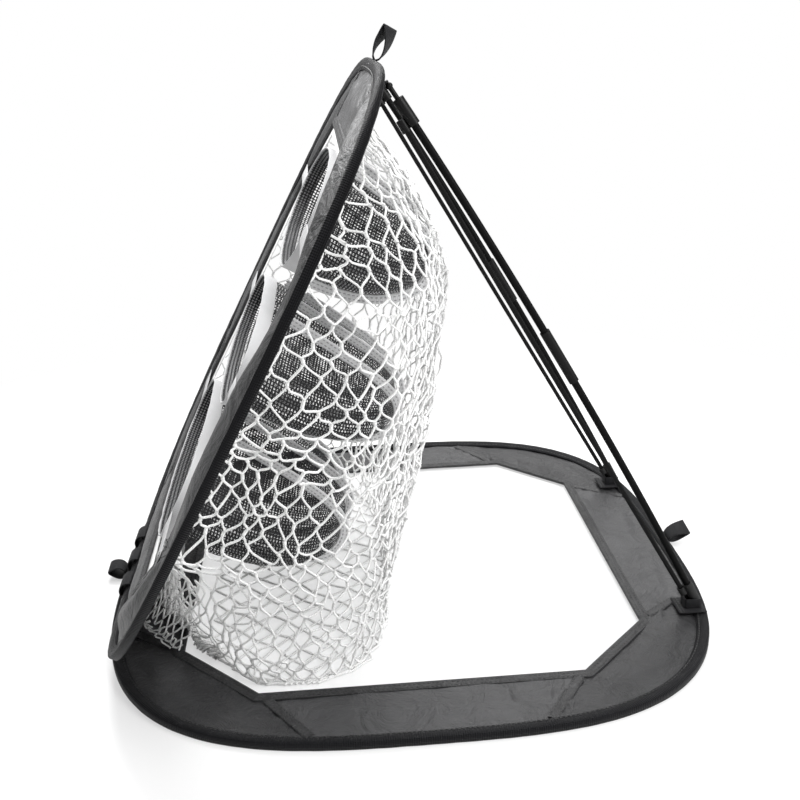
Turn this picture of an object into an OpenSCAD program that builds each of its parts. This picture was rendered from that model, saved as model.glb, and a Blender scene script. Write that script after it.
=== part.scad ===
// Pop-up golf chipping net: a flat base panel, a leaning target panel with three
// ball pockets and a knotted catch net, and two removable support poles.
// +X is one side, +Y the rear, +Z up. The origin is on the ground under the base's centre.

/* [Panels] */
// Width of both hoop panels across the sides
panel_w = 510; // [420:5:640]
// Depth of the base panel, front to rear
base_d = 494; // [420:2:620]
// Height of the target panel along its slope
target_h = 480; // [410:2:600]
// Squareness of the hoop outline
hoop_square = 3.15; // [2.6:0.05:4.2]
// Width of the fabric border between the hoop and the opening
border_w = 66; // [50:1:90]
// Length of each corner cut of the opening
corner_cut = 60; // [40:1:80]
// Angle of the seams between the side and corner pieces
seam_slant = 35; // [15:1:45]
// Thickness of the border fabric
fabric_t = 1.2; // [0.8:0.1:2]

/* [Edges] */
// Width of the woven edge binding
binding_w = 10; // [8:0.5:14]
// Thickness of the woven edge binding
binding_t = 7; // [6.5:0.5:9]
// Thickness of the spring steel hoop strip
hoop_t = 1; // [0.8:0.1:1.4]
// Height of the spring steel hoop strip
hoop_h = 5; // [4:0.25:5.5]
// Length of the crimped sleeve that joins the hoop's ends
hoop_joint_l = 40; // [25:1:60]
// Width of the folded hem round the opening
hem_w = 9; // [7:0.5:12]
// Thickness of the folded hem
hem_t = 3.2; // [2.6:0.1:4]
// Width of the tape over each seam
seam_w = 8; // [5:0.5:11]
// Thickness of the tape over each seam
seam_t = 0.8; // [0.5:0.1:1]

/* [Stance] */
// Slope of the target panel above the ground
lean = 61.7; // [58:0.1:66]
// How far the target folds down towards the base
fold_travel = 57; // [40:1:57]

/* [Webbing] */
// Width of the pull tabs
tab_w = 15; // [10:1:20]
// Length of the front and rear pull tabs beyond the binding
tab_l = 24; // [15:1:35]
// Length of the top pull tab beyond the binding
top_tab_l = 32; // [20:1:45]
// Thickness of the webbing
web_t = 1.3; // [1:0.1:1.8]
// Height of a pull tab's open loop
tab_gap = 9; // [5:0.5:14]
// Width of each hinge strap
strap_w = 22; // [15:1:26]
// Spacing of the hinge straps
strap_pitch = 42; // [30:1:44]
// Length of the strap tail sewn on the base
strap_tail = 24; // [14:1:34]

/* [Pockets] */
// Half width of the top pocket's mouth
top_pocket_a = 118; // [90:1:125]
// Half height of the top pocket's mouth
top_pocket_b = 46; // [35:1:48]
// Depth of the top pocket
top_pocket_d = 106; // [80:1:108]
// Half width of the middle and bottom pockets' mouths
low_pocket_a = 130; // [95:1:140]
// Half height of the middle pocket's mouth
mid_pocket_b = 40; // [32:1:48]
// Depth of the middle pocket
mid_pocket_d = 138; // [90:1:140]
// Half height of the bottom pocket's mouth
low_pocket_b = 46; // [35:1:50]
// Depth of the bottom pocket
low_pocket_d = 146; // [90:1:148]
// Width of the grey rim band, along the pocket's depth
rim_w = 12; // [8:0.5:16]
// Thickness of the grey rim band
rim_t = 1.6; // [1:0.1:2.4]
// Thickness of the pocket mesh
mesh_t = 1; // [0.8:0.1:1.4]
// Width of the grey tape along each pocket's middle seam
outline_w = 9; // [6:0.5:10]
// Thickness of the folded tape along each pocket's middle seam
outline_t = 2.4; // [1.6:0.2:4]
// How far a pocket sags
pocket_hang = 10; // [4:1:14]

/* [Catch net] */
// Thickness of the knotted net
net_t = 2; // [1.5:0.1:3]
// Half width of the net where it lies on the ground
net_half_w = 178; // [140:1:180]
// Height of the net's top above the ground
net_top_z = 388; // [375:1:396]
// Width of the net's sewn border inside the opening
net_border_w = 9; // [7:0.5:9.5]
// Openings of the net's grid, counted across its width
net_across = 11; // [6:1:12]
// Width of the bars left between the openings
net_bar = 5; // [4:0.5:8]

/* [Poles] */
// Distance of each pole from the middle
pole_x = 118; // [90:1:130]
// Diameter of the glass-fibre rod
rod_d = 5.5; // [4.5:0.1:6.5]
// Outward bow of a pole under load
pole_bow = 5.5; // [3:0.25:8]
// Diameter of the middle ferrule
ferrule_d = 7.6; // [7:0.1:9]
// Length of the middle ferrule
ferrule_l = 46; // [30:1:60]
// Distance of the ferrule's middle from the top pivot, along the pole
ferrule_at = 228; // [200:1:280]
// Diameter of the top fitting
fitting_d = 8.4; // [7.5:0.1:9]
// Length of the top fitting
fitting_l = 20; // [14:1:26]
// Diameter of the top fitting's neck
neck_d = 3.4; // [2.6:0.1:3.8]
// Length of the top fitting's neck from the pivot
neck_l = 10; // [8:0.5:14]
// Diameter of the ball at the top pivot
ball_d = 5; // [4.6:0.1:5.6]
// Diameter of the rubber foot
foot_d = 8; // [7:0.1:9.5]
// Length of the rubber foot
foot_l = 18; // [12:1:24]
// Distance of the foot from the base's centre
foot_y = 231; // [222:1:232]
// Diameter of the elastic tension cord
cord_d = 4; // [3:0.1:4.4]
// Depth of the webbing cradle that holds the foot
sleeve_l = 15; // [13:0.5:18]
// Height of the webbing cradle that holds the foot
sleeve_h = 9.5; // [7:0.5:10]

/* [Hidden] */

near_black = "#1c1c1e";
soft_black = "#2c2c2e";
fabric_grey = "#3c3c3e";
tape_grey = "#a4a4a6";
net_white = "#f2f2f0";
steel = "#b8bcc0";

clear = 0.3;
seam_gap = 0.2;
ring_points = 72;
half_w = panel_w / 2;

// The binding's slot and the hoop's place inside it
hoop_in = 3;
hoop_play = 0.4;
fabric_in = 6;

// The hinge lies over the inner edge of the base's front binding
base_mid_z = binding_t / 2;
fabric_top = base_mid_z + fabric_t / 2;
binding_diag = sqrt(pow(binding_w, 2) + pow(binding_t, 2)) / 2;
strap_reach = strap_pitch + strap_w / 2;
edge_rise = target_h / 2 * (1 - pow(1 - pow(strap_reach / half_w, hoop_square), 1 / hoop_square));
strap_r = binding_diag + edge_rise + clear;
hinge_z = binding_t + web_t + strap_r;
hinge_y = -base_d / 2 + binding_w + 1;
loop_t = 1;

// Middle heights of the pockets up the target
top_pocket_v = 358;
mid_pocket_v = 240;
low_pocket_v = 124;
rim_front = 2.4;
tie_w = 12;
tie_t = 0.8;
rings_round = 28;

// A pole runs from its ball at the target's top to its foot on the base
ball_v = target_h - 10;
ball_z = -(binding_t / 2 + loop_t + clear + ball_d / 2);
ball_y_world = hinge_y + (ball_v - binding_w / 2) * cos(lean) - ball_z * sin(lean);
ball_z_world = hinge_z + (ball_v - binding_w / 2) * sin(lean) + ball_z * cos(lean);
foot_z = binding_t + web_t + clear + foot_d / 2;
pole_run = foot_y - ball_y_world;
pole_drop = ball_z_world - foot_z;
pole_l = sqrt(pow(pole_run, 2) + pow(pole_drop, 2));
pole_angle = atan2(pole_drop, pole_run);
bow_r = pow(pole_l, 2) / (8 * pole_bow) + pole_bow / 2;
bow_half = asin(pole_l / 2 / bow_r);
bow_fn = 720;
joint_play = 0.15;

// Outline of a hoop panel, drawn in by a distance
function outline(hw, hh, inset) = [for (i = [0 : ring_points - 1])
    let (a = 360 * i / ring_points,
         r = pow(pow(abs(cos(a)) / hw, hoop_square) + pow(abs(sin(a)) / hh, hoop_square),
                 -1 / hoop_square),
         x = r * cos(a),
         y = r * sin(a),
         gx = sign(x) * pow(abs(x) / hw, hoop_square - 1) / hw,
         gy = sign(y) * pow(abs(y) / hh, hoop_square - 1) / hh,
         g = sqrt(gx * gx + gy * gy))
    [x - inset * gx / g, y - inset * gy / g]];

// Eight-sided opening, grown outwards by a distance
function opening(hw, hh, grow) =
    let (ax = hw - border_w + grow,
         ay = hh - border_w + grow,
         c = corner_cut + grow * (2 - sqrt(2)))
    [[ax, -ay + c], [ax, ay - c], [ax - c, ay], [-ax + c, ay],
     [-ax, ay - c], [-ax, -ay + c], [-ax + c, -ay], [ax - c, -ay]];

// Everything on the target is drawn flat, centred on the hinge end, then leaned back
module on_target() {
    translate([0, hinge_y, hinge_z])
        rotate([lean, 0, 0])
            translate([0, -binding_w / 2, 0])
                children();
}

module on_base() {
    translate([0, 0, base_mid_z])
        children();
}

// Flat ring of the panel's outline between two insets
module outline_ring(hw, hh, outer, inner, height) {
    linear_extrude(height, center = true)
        difference() {
            polygon(outline(hw, hh, outer));
            polygon(outline(hw, hh, inner));
        }
}

module binding(hw, hh) {
    difference() {
        outline_ring(hw, hh, 0, binding_w, binding_t);
        outline_ring(hw, hh, hoop_in - hoop_play, hoop_in + hoop_t + hoop_play,
            hoop_h + 2 * hoop_play);
        outline_ring(hw, hh, hoop_in + hoop_t, binding_w + 1, fabric_t + 2 * seam_gap);
        // room for the crimped sleeve
        translate([0, hh - hoop_in - hoop_t / 2, 0])
            cube([hoop_joint_l + 2, hoop_t + 3, hoop_h + 2 * hoop_play + 1], center = true);
    }
}

// The strip's ends stop inside the crimped sleeve, which is open along its length
module hoop(hw, hh) {
    difference() {
        outline_ring(hw, hh, hoop_in, hoop_in + hoop_t, hoop_h);
        translate([0, hh - hoop_in - hoop_t / 2, 0])
            cube([0.6, hoop_t + 6, hoop_h + 2], center = true);
    }
}

module hoop_joint(hh) {
    wall = 0.5;
    translate([0, hh - hoop_in - hoop_t / 2, 0])
        difference() {
            cube([hoop_joint_l, hoop_t + 2 * wall + 0.6, hoop_h + 2 * wall + 0.2], center = true);
            cube([hoop_joint_l + 2, hoop_t + 0.6, hoop_h + 0.2], center = true);
        }
}

module fabric_field(hw, hh) {
    difference() {
        polygon(outline(hw, hh, fabric_in));
        polygon(opening(hw, hh, 2.8));
    }
}

// The part of the border beside one side of the opening: turn 0 is +X, 1 is +Y
module side_wedge(hw, hh, turn, shrink) {
    along = turn % 2 == 0 ? hh : hw;
    across = turn % 2 == 0 ? hw : hh;
    b = along - border_w - corner_cut - shrink;
    reach = border_w + 10;
    rotate(90 * turn)
        polygon([[across - border_w - 1, -b], [across - border_w - 1, b],
            [across - border_w + reach, b - reach * tan(seam_slant)],
            [across - border_w + reach, -b + reach * tan(seam_slant)]]);
}

module strip(hw, hh, turn) {
    linear_extrude(fabric_t, center = true)
        intersection() {
            fabric_field(hw, hh);
            side_wedge(hw, hh, turn, seam_gap);
        }
}

module corner(hw, hh, sx, sy) {
    linear_extrude(fabric_t, center = true)
        intersection() {
            difference() {
                fabric_field(hw, hh);
                for (turn = [0 : 3])
                    side_wedge(hw, hh, turn, -seam_gap);
            }
            translate([sx > 0 ? 0 : -hw, sy > 0 ? 0 : -hh])
                square([hw, hh]);
        }
}

module hem(hw, hh) {
    difference() {
        linear_extrude(hem_t, center = true)
            difference() {
                polygon(opening(hw, hh, hem_w));
                polygon(opening(hw, hh, 0));
            }
        linear_extrude(fabric_t + 2 * seam_gap, center = true)
            difference() {
                polygon(opening(hw, hh, hem_w + 1));
                polygon(opening(hw, hh, 2.4));
            }
    }
}

// Tapes over the eight seams, on the upper face
module seam_tapes(hw, hh) {
    translate([0, 0, fabric_t / 2])
        linear_extrude(seam_t)
            intersection() {
                difference() {
                    polygon(outline(hw, hh, binding_w + clear));
                    polygon(opening(hw, hh, hem_w + clear));
                }
                for (turn = [0 : 3])
                    let (along = turn % 2 == 0 ? hh : hw,
                         across = turn % 2 == 0 ? hw : hh)
                    for (side = [-1, 1])
                        rotate(90 * turn)
                            translate([across - border_w, side * (along - border_w - corner_cut)])
                                rotate(-side * seam_slant)
                                    translate([-5, -seam_w / 2])
                                        square([border_w + 40, seam_w]);
            }
}

// Webbing folded into an open loop that grows from the origin along +Y
function loop_half(s, gap) = gap / 2 * pow(sin(180 * pow(s, 0.75)), 0.8);

module pull_tab(length) {
    steps = 12;
    outer = concat(
        [for (i = [0 : steps]) [i / steps * length, web_t + loop_half(i / steps, tab_gap)]],
        [for (i = [steps : -1 : 0]) [i / steps * length, -web_t - loop_half(i / steps, tab_gap)]]);
    inner_l = length - web_t;
    inner = concat(
        [for (i = [1 : steps]) [i / steps * inner_l, loop_half(i / steps, tab_gap)]],
        [for (i = [steps - 1 : -1 : 1]) [i / steps * inner_l, -loop_half(i / steps, tab_gap)]]);
    rotate([0, 0, 90])
        rotate([90, 0, 0])
            linear_extrude(tab_w, center = true)
                difference() {
                    polygon(outer);
                    polygon(inner);
                }
}

// Strap round the target's lower edge, open on the side where the fabric swings
module hinge_strap() {
    open_from = lean - fold_travel - 14;
    open_to = lean + 12;
    far = 4 * strap_r;
    out = strap_r + web_t;
    low = fabric_top - hinge_z;
    difference() {
        union() {
            rotate([0, 90, 0])
                cylinder(h = strap_w, r = strap_r + web_t, center = true, $fn = 96);
            rotate([90, 0, 90])
                linear_extrude(strap_w, center = true)
                    polygon([[-0.7, -out], [6, low], [strap_tail, low], [strap_tail, low + web_t],
                        [9, low + web_t], [6.5, -out + 1], [0, -out + 1]]);
        }
        rotate([0, 90, 0])
            cylinder(h = strap_w + 2, r = strap_r, center = true, $fn = 96);
        rotate([90, 0, 90])
            linear_extrude(strap_w + 2, center = true)
                polygon([[0, 0],
                    [far * cos(open_from), far * sin(open_from)],
                    [far * cos(lean / 2), far * sin(lean / 2)],
                    [far * cos(open_to), far * sin(open_to)]]);
    }
}

// Rounded oval of a pocket's mouth, at a height up the target
function oval(a, b, v, n) = [for (i = [0 : rings_round - 1])
    let (t = 360 * i / rings_round)
    [a * sign(cos(t)) * pow(abs(cos(t)), 2 / n), v + b * sign(sin(t)) * pow(abs(sin(t)), 2 / n)]];

module pocket_rim(a, b, v) {
    translate([0, 0, rim_front - rim_w])
        linear_extrude(rim_w)
            difference() {
                polygon(oval(a, b, v, 2.3));
                polygon(oval(a - rim_t, b - rim_t, v, 2.3));
            }
}

// Half-dome that narrows away from the mouth and hangs a little at its middle
dome_start = 0.13;
dome_steps = [0, dome_start, 0.28, 0.45, 0.61, 0.76, 0.88, 0.96];
dome_n = 2.6;

function hang(s) = pocket_hang * sin(162 * max(0, s - dome_start) / (1 - dome_start));

module pocket_dome(a, b, v, depth, front) {
    body = [for (s = dome_steps)
        let (k = pow(1 - pow(s, dome_n), 1 / dome_n),
             ring = oval(a * k, b * k, 0, 2.3))
        for (p = ring) [p[0], v + p[1] - hang(s), front - depth * s]];
    n = rings_round;
    m = len(dome_steps);
    last = n * m;
    points = concat(body,
        [[0, v - hang(1), front - depth], [0, v, front]]);
    faces = concat(
        [for (j = [0 : m - 2]) for (i = [0 : n - 1]) [j * n + i, j * n + (i + 1) % n, (j + 1) * n + i]],
        [for (j = [0 : m - 2]) for (i = [0 : n - 1])
            [j * n + (i + 1) % n, (j + 1) * n + (i + 1) % n, (j + 1) * n + i]],
        [for (i = [0 : n - 1]) [(m - 1) * n + i, (m - 1) * n + (i + 1) % n, last]],
        [for (i = [0 : n - 1]) [(i + 1) % n, i, last + 1]]);
    polyhedron(points, faces, convexity = 6);
}

module pocket_mesh(a, b, v, depth) {
    skin = rim_t + clear / 3;
    difference() {
        pocket_dome(a - skin, b - skin, v, depth, rim_front - 1);
        pocket_dome(a - skin - mesh_t, b - skin - mesh_t, v, depth - mesh_t, rim_front);
    }
}

// Folded tape over the seam in the pocket's middle plane, standing off the mesh
module pocket_tape(a, b, v, depth) {
    skin = rim_t - clear * 2 / 3;
    difference() {
        intersection() {
            pocket_dome(a - skin + outline_w, b - skin + outline_w, v, depth + outline_w, rim_front - 1);
            translate([-outline_t / 2, v - 2 * b, -2 * depth])
                cube([outline_t, 4 * b, 2 * depth + rim_front - rim_w - clear]);
        }
        pocket_dome(a - skin, b - skin, v, depth + clear, rim_front - 1);
    }
}

// Ties from a pocket's rim to the hem on both sides
module pocket_ties(a, v, off) {
    reach = half_w - border_w + hem_w - 1;
    for (side = [-1, 1])
        translate([side * (a + reach) / 2, v + off, hem_t / 2 + tie_t / 2])
            cube([reach - a, tie_w, tie_t], center = true);
}

// Levels of the hanging net: height, front and rear from the hinge, half width
function net_levels(top) = [
    [1, hinge_y + 72, hinge_y + 220, net_half_w],
    [35, hinge_y + 50, hinge_y + 226, net_half_w + 6],
    [80, hinge_y + 30, hinge_y + 240, net_half_w + 8],
    [120, hinge_y - 2, hinge_y + 251, net_half_w + 12],
    [150, hinge_y + 16, hinge_y + 259, net_half_w + 12],
    [215, hinge_y + 58, hinge_y + 271, net_half_w + 12],
    [285, hinge_y + 106, hinge_y + 278, net_half_w + 12],
    [320, hinge_y + 136, hinge_y + 268, net_half_w + 6],
    [350, hinge_y + 170, hinge_y + 253, net_half_w - 20],
    [370, hinge_y + 184, hinge_y + 239, net_half_w - 43],
    [top, hinge_y + 190, hinge_y + 222, net_half_w - 66]];
net_round = 40;
net_shape_n = 3.2;

module net_form(levels) {
    n = net_round;
    m = len(levels);
    points = concat(
        [for (l = levels)
            let (yc = (l[1] + l[2]) / 2, hy = (l[2] - l[1]) / 2)
            for (i = [0 : n - 1])
                let (t = 360 * i / n)
                [l[3] * sign(cos(t)) * pow(abs(cos(t)), 2 / net_shape_n),
                 yc + hy * sign(sin(t)) * pow(abs(sin(t)), 2 / net_shape_n), l[0]]],
        [[0, (levels[0][1] + levels[0][2]) / 2, levels[0][0]],
         [0, (levels[m - 1][1] + levels[m - 1][2]) / 2, levels[m - 1][0]]]);
    faces = concat(
        [for (j = [0 : m - 2]) for (i = [0 : n - 1]) [j * n + i, (j + 1) * n + i, j * n + (i + 1) % n]],
        [for (j = [0 : m - 2]) for (i = [0 : n - 1])
            [j * n + (i + 1) % n, (j + 1) * n + i, (j + 1) * n + (i + 1) % n]],
        [for (i = [0 : n - 1]) [i, (i + 1) % n, n * m]],
        [for (i = [0 : n - 1]) [(m - 1) * n + (i + 1) % n, (m - 1) * n + i, n * m + 1]]);
    polyhedron(points, faces, convexity = 8);
}

net_start = hem_t / 2 + 2.5;

// Row of the net's form at a height: front, rear and half width
function net_at(z) =
    let (ls = net_levels(net_top_z))
    [for (k = [1 : 3]) lookup(z, [for (l = ls) [l[0], l[k]]])];

// How far a point is out from the net's middle at its height: 1 on the shell
function net_out(x, y, z) =
    let (l = net_at(z))
    pow(abs(x / l[2]), net_shape_n)
    + pow(abs((y - (l[0] + l[1]) / 2) / ((l[1] - l[0]) / 2)), net_shape_n);

net_flat = 0.44;
net_pitch_x = 2 * (net_half_w + 12) / net_across;
net_pitch_y = 28;
net_pitch_z = 32;
net_rows = floor((net_top_z - 24) / net_pitch_z);
net_low = 12;
net_first_y = hinge_y + 12;

// Distance behind the target's middle plane
function net_behind(y, z) =
    (y - hinge_y) * sin(lean) - (z - hinge_z) * cos(lean);

// Plain grid of openings through the net's sides, its rear and its floor
module net_openings() {
    for (k = [0 : net_rows - 1]) {
        z0 = net_low + k * net_pitch_z;
        z1 = z0 + net_pitch_z - net_bar;
        for (j = [-1 : 10]) {
            y0 = net_first_y + j * net_pitch_y;
            y1 = y0 + net_pitch_y - net_bar;
            if (max(net_out(0, y0, z0), net_out(0, y0, z1), net_out(0, y1, z0),
                    net_out(0, y1, z1)) < net_flat
                && net_behind(y0, z1) > net_start + net_bar)
                translate([-half_w, y0, z0])
                    cube([panel_w, y1 - y0, z1 - z0]);
        }
        for (i = [0 : net_across - 1]) {
            x0 = (i - net_across / 2) * net_pitch_x + net_bar / 2;
            x1 = x0 + net_pitch_x - net_bar;
            mid0 = (net_at(z0)[0] + net_at(z0)[1]) / 2;
            mid1 = (net_at(z1)[0] + net_at(z1)[1]) / 2;
            far = max(abs(x0), abs(x1));
            front = net_at(z1)[0];
            from = net_behind(front, z1) > net_start + 2 * net_bar ? front - border_w : mid1;
            if (max(net_out(far, mid0, z0), net_out(far, mid1, z1)) < net_flat)
                translate([x0, from, z0])
                    cube([x1 - x0, base_d, z1 - z0]);
        }
    }
    for (j = [-1 : 8])
        for (i = [0 : net_across - 1]) {
            x0 = (i - net_across / 2) * net_pitch_x + net_bar / 2;
            x1 = x0 + net_pitch_x - net_bar;
            y0 = net_first_y + j * net_pitch_y;
            y1 = y0 + net_pitch_y - net_bar;
            far = max(abs(x0), abs(x1));
            if (max(net_out(far, y0, 1), net_out(far, y1, 1)) < net_flat + 0.3)
                translate([x0, y0, -1])
                    cube([x1 - x0, y1 - y0, net_t + 3.5]);
        }
}

module catch_net_body() {
    outer = net_levels(net_top_z);
    m = len(outer);
    inner = [for (i = [0 : m - 1])
        let (l = outer[i],
             z = i == 0 ? l[0] + net_t : i == m - 1 ? l[0] - net_t : l[0])
        [z, l[1] + net_t, l[2] - net_t, l[3] - net_t]];
    intersection() {
        difference() {
            net_form(outer);
            net_form(inner);
            net_openings();
        }
        on_target()
            translate([-half_w, -target_h, -target_h - net_start])
                cube([panel_w, 3 * target_h, target_h]);
    }
}

module net_border() {
    translate([0, target_h / 2, -net_start])
        linear_extrude(net_start - hem_t / 2)
            difference() {
                polygon(opening(half_w, target_h / 2, hem_w + 12));
                polygon(opening(half_w, target_h / 2, -net_border_w));
            }
}

// A pole lies in a plane of constant X: its arc is drawn with the chord along +X
// and the bow towards +Y, then set with its start on the top pivot
module on_pole(side) {
    translate([side * pole_x, ball_y_world, ball_z_world])
        rotate([-pole_angle, 0, 0])
            rotate([0, 0, 90])
                rotate([90, 0, 0])
                    children();
}

// Round bar along the arc, between two distances from the top pivot
module pole_arc(from, to, d) {
    a0 = bow_half - 2 * bow_half * from / pole_l;
    a1 = bow_half - 2 * bow_half * to / pole_l;
    translate([pole_l / 2, pole_bow - bow_r, 0])
        rotate([0, 0, 90 + a1])
            rotate_extrude(angle = a0 - a1, $fn = bow_fn)
                translate([bow_r, 0])
                    circle(d = d, $fn = 32);
}

// Straight pieces set on the arc, drawn along +Z with their middle at a distance
module along(at) {
    a = bow_half - 2 * bow_half * at / pole_l;
    translate([pole_l / 2, pole_bow - bow_r, 0])
        rotate([0, 0, a])
            translate([0, bow_r, 0])
                rotate([0, 90, 0])
                    children();
}

rod_from = neck_l + 5;
rod_to = pole_l - 5;
rod_bore = rod_d + 2 * joint_play;
cord_off = rod_d / 2 + cord_d / 2 + 0.6;
cord_from = neck_l + fitting_l - 6;
cord_to = pole_l - foot_l + 4;
socket_d = cord_d + 2.4;

module upper_rod(side) {
    on_pole(side)
        pole_arc(rod_from, ferrule_at - 1, rod_d);
}

module lower_rod(side) {
    on_pole(side)
        pole_arc(ferrule_at + 1, rod_to, rod_d);
}

module ferrule(side) {
    on_pole(side)
        along(ferrule_at)
            difference() {
                cylinder(h = ferrule_l, d = ferrule_d, center = true, $fn = 48);
                cylinder(h = ferrule_l + 2, d = rod_bore, center = true, $fn = 48);
            }
}

// Straight cord between the top fitting and the foot, on the pole's inner side
module cord_bar(d, grow) {
    translate([cord_from - grow, -cord_off, 0])
        rotate([0, 90, 0])
            cylinder(h = cord_to - cord_from + 2 * grow, d = d, $fn = 24);
}

module tension_cord(side) {
    on_pole(side)
        cord_bar(cord_d, 0);
}

module top_fitting(side) {
    on_pole(side)
        difference() {
            union() {
                along(0) {
                    sphere(d = ball_d, $fn = 48);
                    cylinder(h = neck_l + 1, d = neck_d, $fn = 32);
                    translate([0, 0, neck_l])
                        cylinder(h = fitting_l, d = fitting_d, $fn = 48);
                }
                translate([neck_l + fitting_l - 7.5, -cord_off, 0])
                    rotate([0, 90, 0])
                        cylinder(h = 9, d = socket_d, $fn = 32);
            }
            along(0)
                translate([0, 0, rod_from - 0.5])
                    cylinder(h = fitting_l, d = rod_bore, $fn = 48);
            cord_bar(cord_d + 2 * joint_play, joint_play);
        }
}

module foot(side) {
    on_pole(side)
        difference() {
            union() {
                along(pole_l)
                    sphere(d = foot_d - 0.3, $fn = 48);
                along(pole_l - foot_l / 2)
                    cylinder(h = foot_l, d = foot_d, center = true, $fn = 48);
                translate([pole_l - foot_l + 0.5, -cord_off, 0])
                    rotate([0, 90, 0])
                        cylinder(h = 6.5, d = socket_d, $fn = 32);
            }
            along(rod_to + 0.5 - foot_l / 2)
                cylinder(h = foot_l, d = rod_bore, center = true, $fn = 48);
            cord_bar(cord_d + 2 * joint_play, joint_play);
        }
}

// Webbing cradle round three sides of the foot, open to the rear, on a sewn flange
module pole_sleeve(side) {
    inner = foot_d / 2 + clear + 0.6;
    outer = inner + web_t;
    front = foot_y - sleeve_l / 2 - 2;
    translate([side * pole_x, 0, binding_t]) {
        translate([-12, foot_y - 17, 0])
            cube([24, 23, web_t]);
        linear_extrude(sleeve_h)
            polygon([[-outer, front - web_t], [outer, front - web_t], [outer, foot_y + 3],
                [inner, foot_y + 3], [inner, front], [-inner, front],
                [-inner, foot_y + 3], [-outer, foot_y + 3]]);
    }
}

// Webbing loop behind the binding that the pole's ball turns in
module pole_loop(side) {
    loop_r = ball_d / 2 + clear;
    rest = -(pole_angle + lean);
    gap_side = asin(min(0.95, (neck_d / 2 + clear) / loop_r)) + 6;
    open_from = rest - gap_side;
    open_to = rest + fold_travel * 2 + gap_side;
    far = 6 * loop_r;
    loop_w = 9;
    on_target()
        translate([side * pole_x, ball_v, ball_z])
            difference() {
                rotate([0, 90, 0])
                    cylinder(h = loop_w, r = loop_r + loop_t, center = true, $fn = 64);
                rotate([0, 90, 0])
                    cylinder(h = loop_w + 2, r = loop_r, center = true, $fn = 64);
                rotate([90, 0, 90])
                    linear_extrude(loop_w + 2, center = true)
                        polygon(concat([[0, 0]], [for (i = [0 : 4])
                            let (a = open_from + (open_to - open_from) * i / 4)
                            [far * cos(a), far * sin(a)]]));
            }
}

module base_hoop() { color(steel) on_base() hoop(half_w, base_d / 2); }
module base_hoop_joint() { color(steel) on_base() hoop_joint(base_d / 2); }
module base_binding() { color(near_black) on_base() binding(half_w, base_d / 2); }
module base_strip(turn) { color(fabric_grey) on_base() strip(half_w, base_d / 2, turn); }
module base_corner(sx, sy) { color(soft_black) on_base() corner(half_w, base_d / 2, sx, sy); }
module base_hem() { color(soft_black) on_base() hem(half_w, base_d / 2); }
module base_seam_tapes() { color(soft_black) on_base() seam_tapes(half_w, base_d / 2); }

module base_tab(dir) {
    color(near_black)
        translate([0, dir * base_d / 2, tab_gap / 2 + web_t + clear])
            rotate([0, 0, dir > 0 ? 0 : 180])
                pull_tab(tab_l);
}

module hinge_straps() {
    color(near_black)
        for (i = [-1 : 1])
            translate([i * strap_pitch, hinge_y, hinge_z])
                hinge_strap();
}

module flat_target() {
    on_target()
        translate([0, target_h / 2, 0])
            children();
}

module target_hoop() { color(steel) flat_target() hoop(half_w, target_h / 2); }
module target_hoop_joint() { color(steel) flat_target() hoop_joint(target_h / 2); }
module target_binding() { color(near_black) flat_target() binding(half_w, target_h / 2); }
module target_strip(turn) { color(fabric_grey) flat_target() strip(half_w, target_h / 2, turn); }
module target_corner(sx, sy) { color(soft_black) flat_target() corner(half_w, target_h / 2, sx, sy); }
module target_hem() { color(soft_black) flat_target() hem(half_w, target_h / 2); }
module target_seam_tapes() { color(soft_black) flat_target() seam_tapes(half_w, target_h / 2); }

module target_tab_top() {
    color(near_black)
        on_target()
            translate([0, target_h, 0])
                pull_tab(top_tab_l);
}

pocket_top = [top_pocket_a, top_pocket_b, top_pocket_v, top_pocket_d];
pocket_middle = [low_pocket_a, mid_pocket_b, mid_pocket_v, mid_pocket_d];
pocket_bottom = [low_pocket_a, low_pocket_b, low_pocket_v, low_pocket_d];

module rim_of(p) { color(tape_grey) on_target() pocket_rim(p[0], p[1], p[2]); }
module mesh_of(p) { color(near_black) on_target() pocket_mesh(p[0], p[1], p[2], p[3]); }
module tape_of(p) { color(tape_grey) on_target() pocket_tape(p[0], p[1], p[2], p[3]); }

module pocket_side_ties() {
    color(tape_grey)
        on_target()
            for (p = [pocket_top, pocket_middle, pocket_bottom])
                pocket_ties(p[0], p[2], 0);
}

module catch_net() { color(net_white) catch_net_body(); }
module catch_net_border() { color(net_white) on_target() net_border(); }

base_hoop();
base_hoop_joint();
base_binding();
base_strip(3);  // base_strip_front
base_strip(1);  // base_strip_rear
base_strip(2);  // base_strip_left
base_strip(0);  // base_strip_right
base_corner(-1, -1);  // base_corner_front_left
base_corner(1, -1);  // base_corner_front_right
base_corner(-1, 1);  // base_corner_rear_left
base_corner(1, 1);  // base_corner_rear_right
base_hem();
base_seam_tapes();
base_tab(-1);  // base_tab_front
base_tab(1);  // base_tab_rear
color(near_black) pole_sleeve(-1);  // base_pole_sleeve_left
color(near_black) pole_sleeve(1);  // base_pole_sleeve_right
hinge_straps();
target_hoop();
target_hoop_joint();
target_binding();
target_strip(1);  // target_strip_top
target_strip(3);  // target_strip_bottom
target_strip(2);  // target_strip_left
target_strip(0);  // target_strip_right
target_corner(-1, 1);  // target_corner_top_left
target_corner(1, 1);  // target_corner_top_right
target_corner(-1, -1);  // target_corner_bottom_left
target_corner(1, -1);  // target_corner_bottom_right
target_hem();
target_seam_tapes();
target_tab_top();
color(near_black) pole_loop(-1);  // target_pole_loop_left
color(near_black) pole_loop(1);  // target_pole_loop_right
rim_of(pocket_top);  // pocket_rim_top
rim_of(pocket_middle);  // pocket_rim_middle
rim_of(pocket_bottom);  // pocket_rim_bottom
mesh_of(pocket_top);  // pocket_mesh_top
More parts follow.
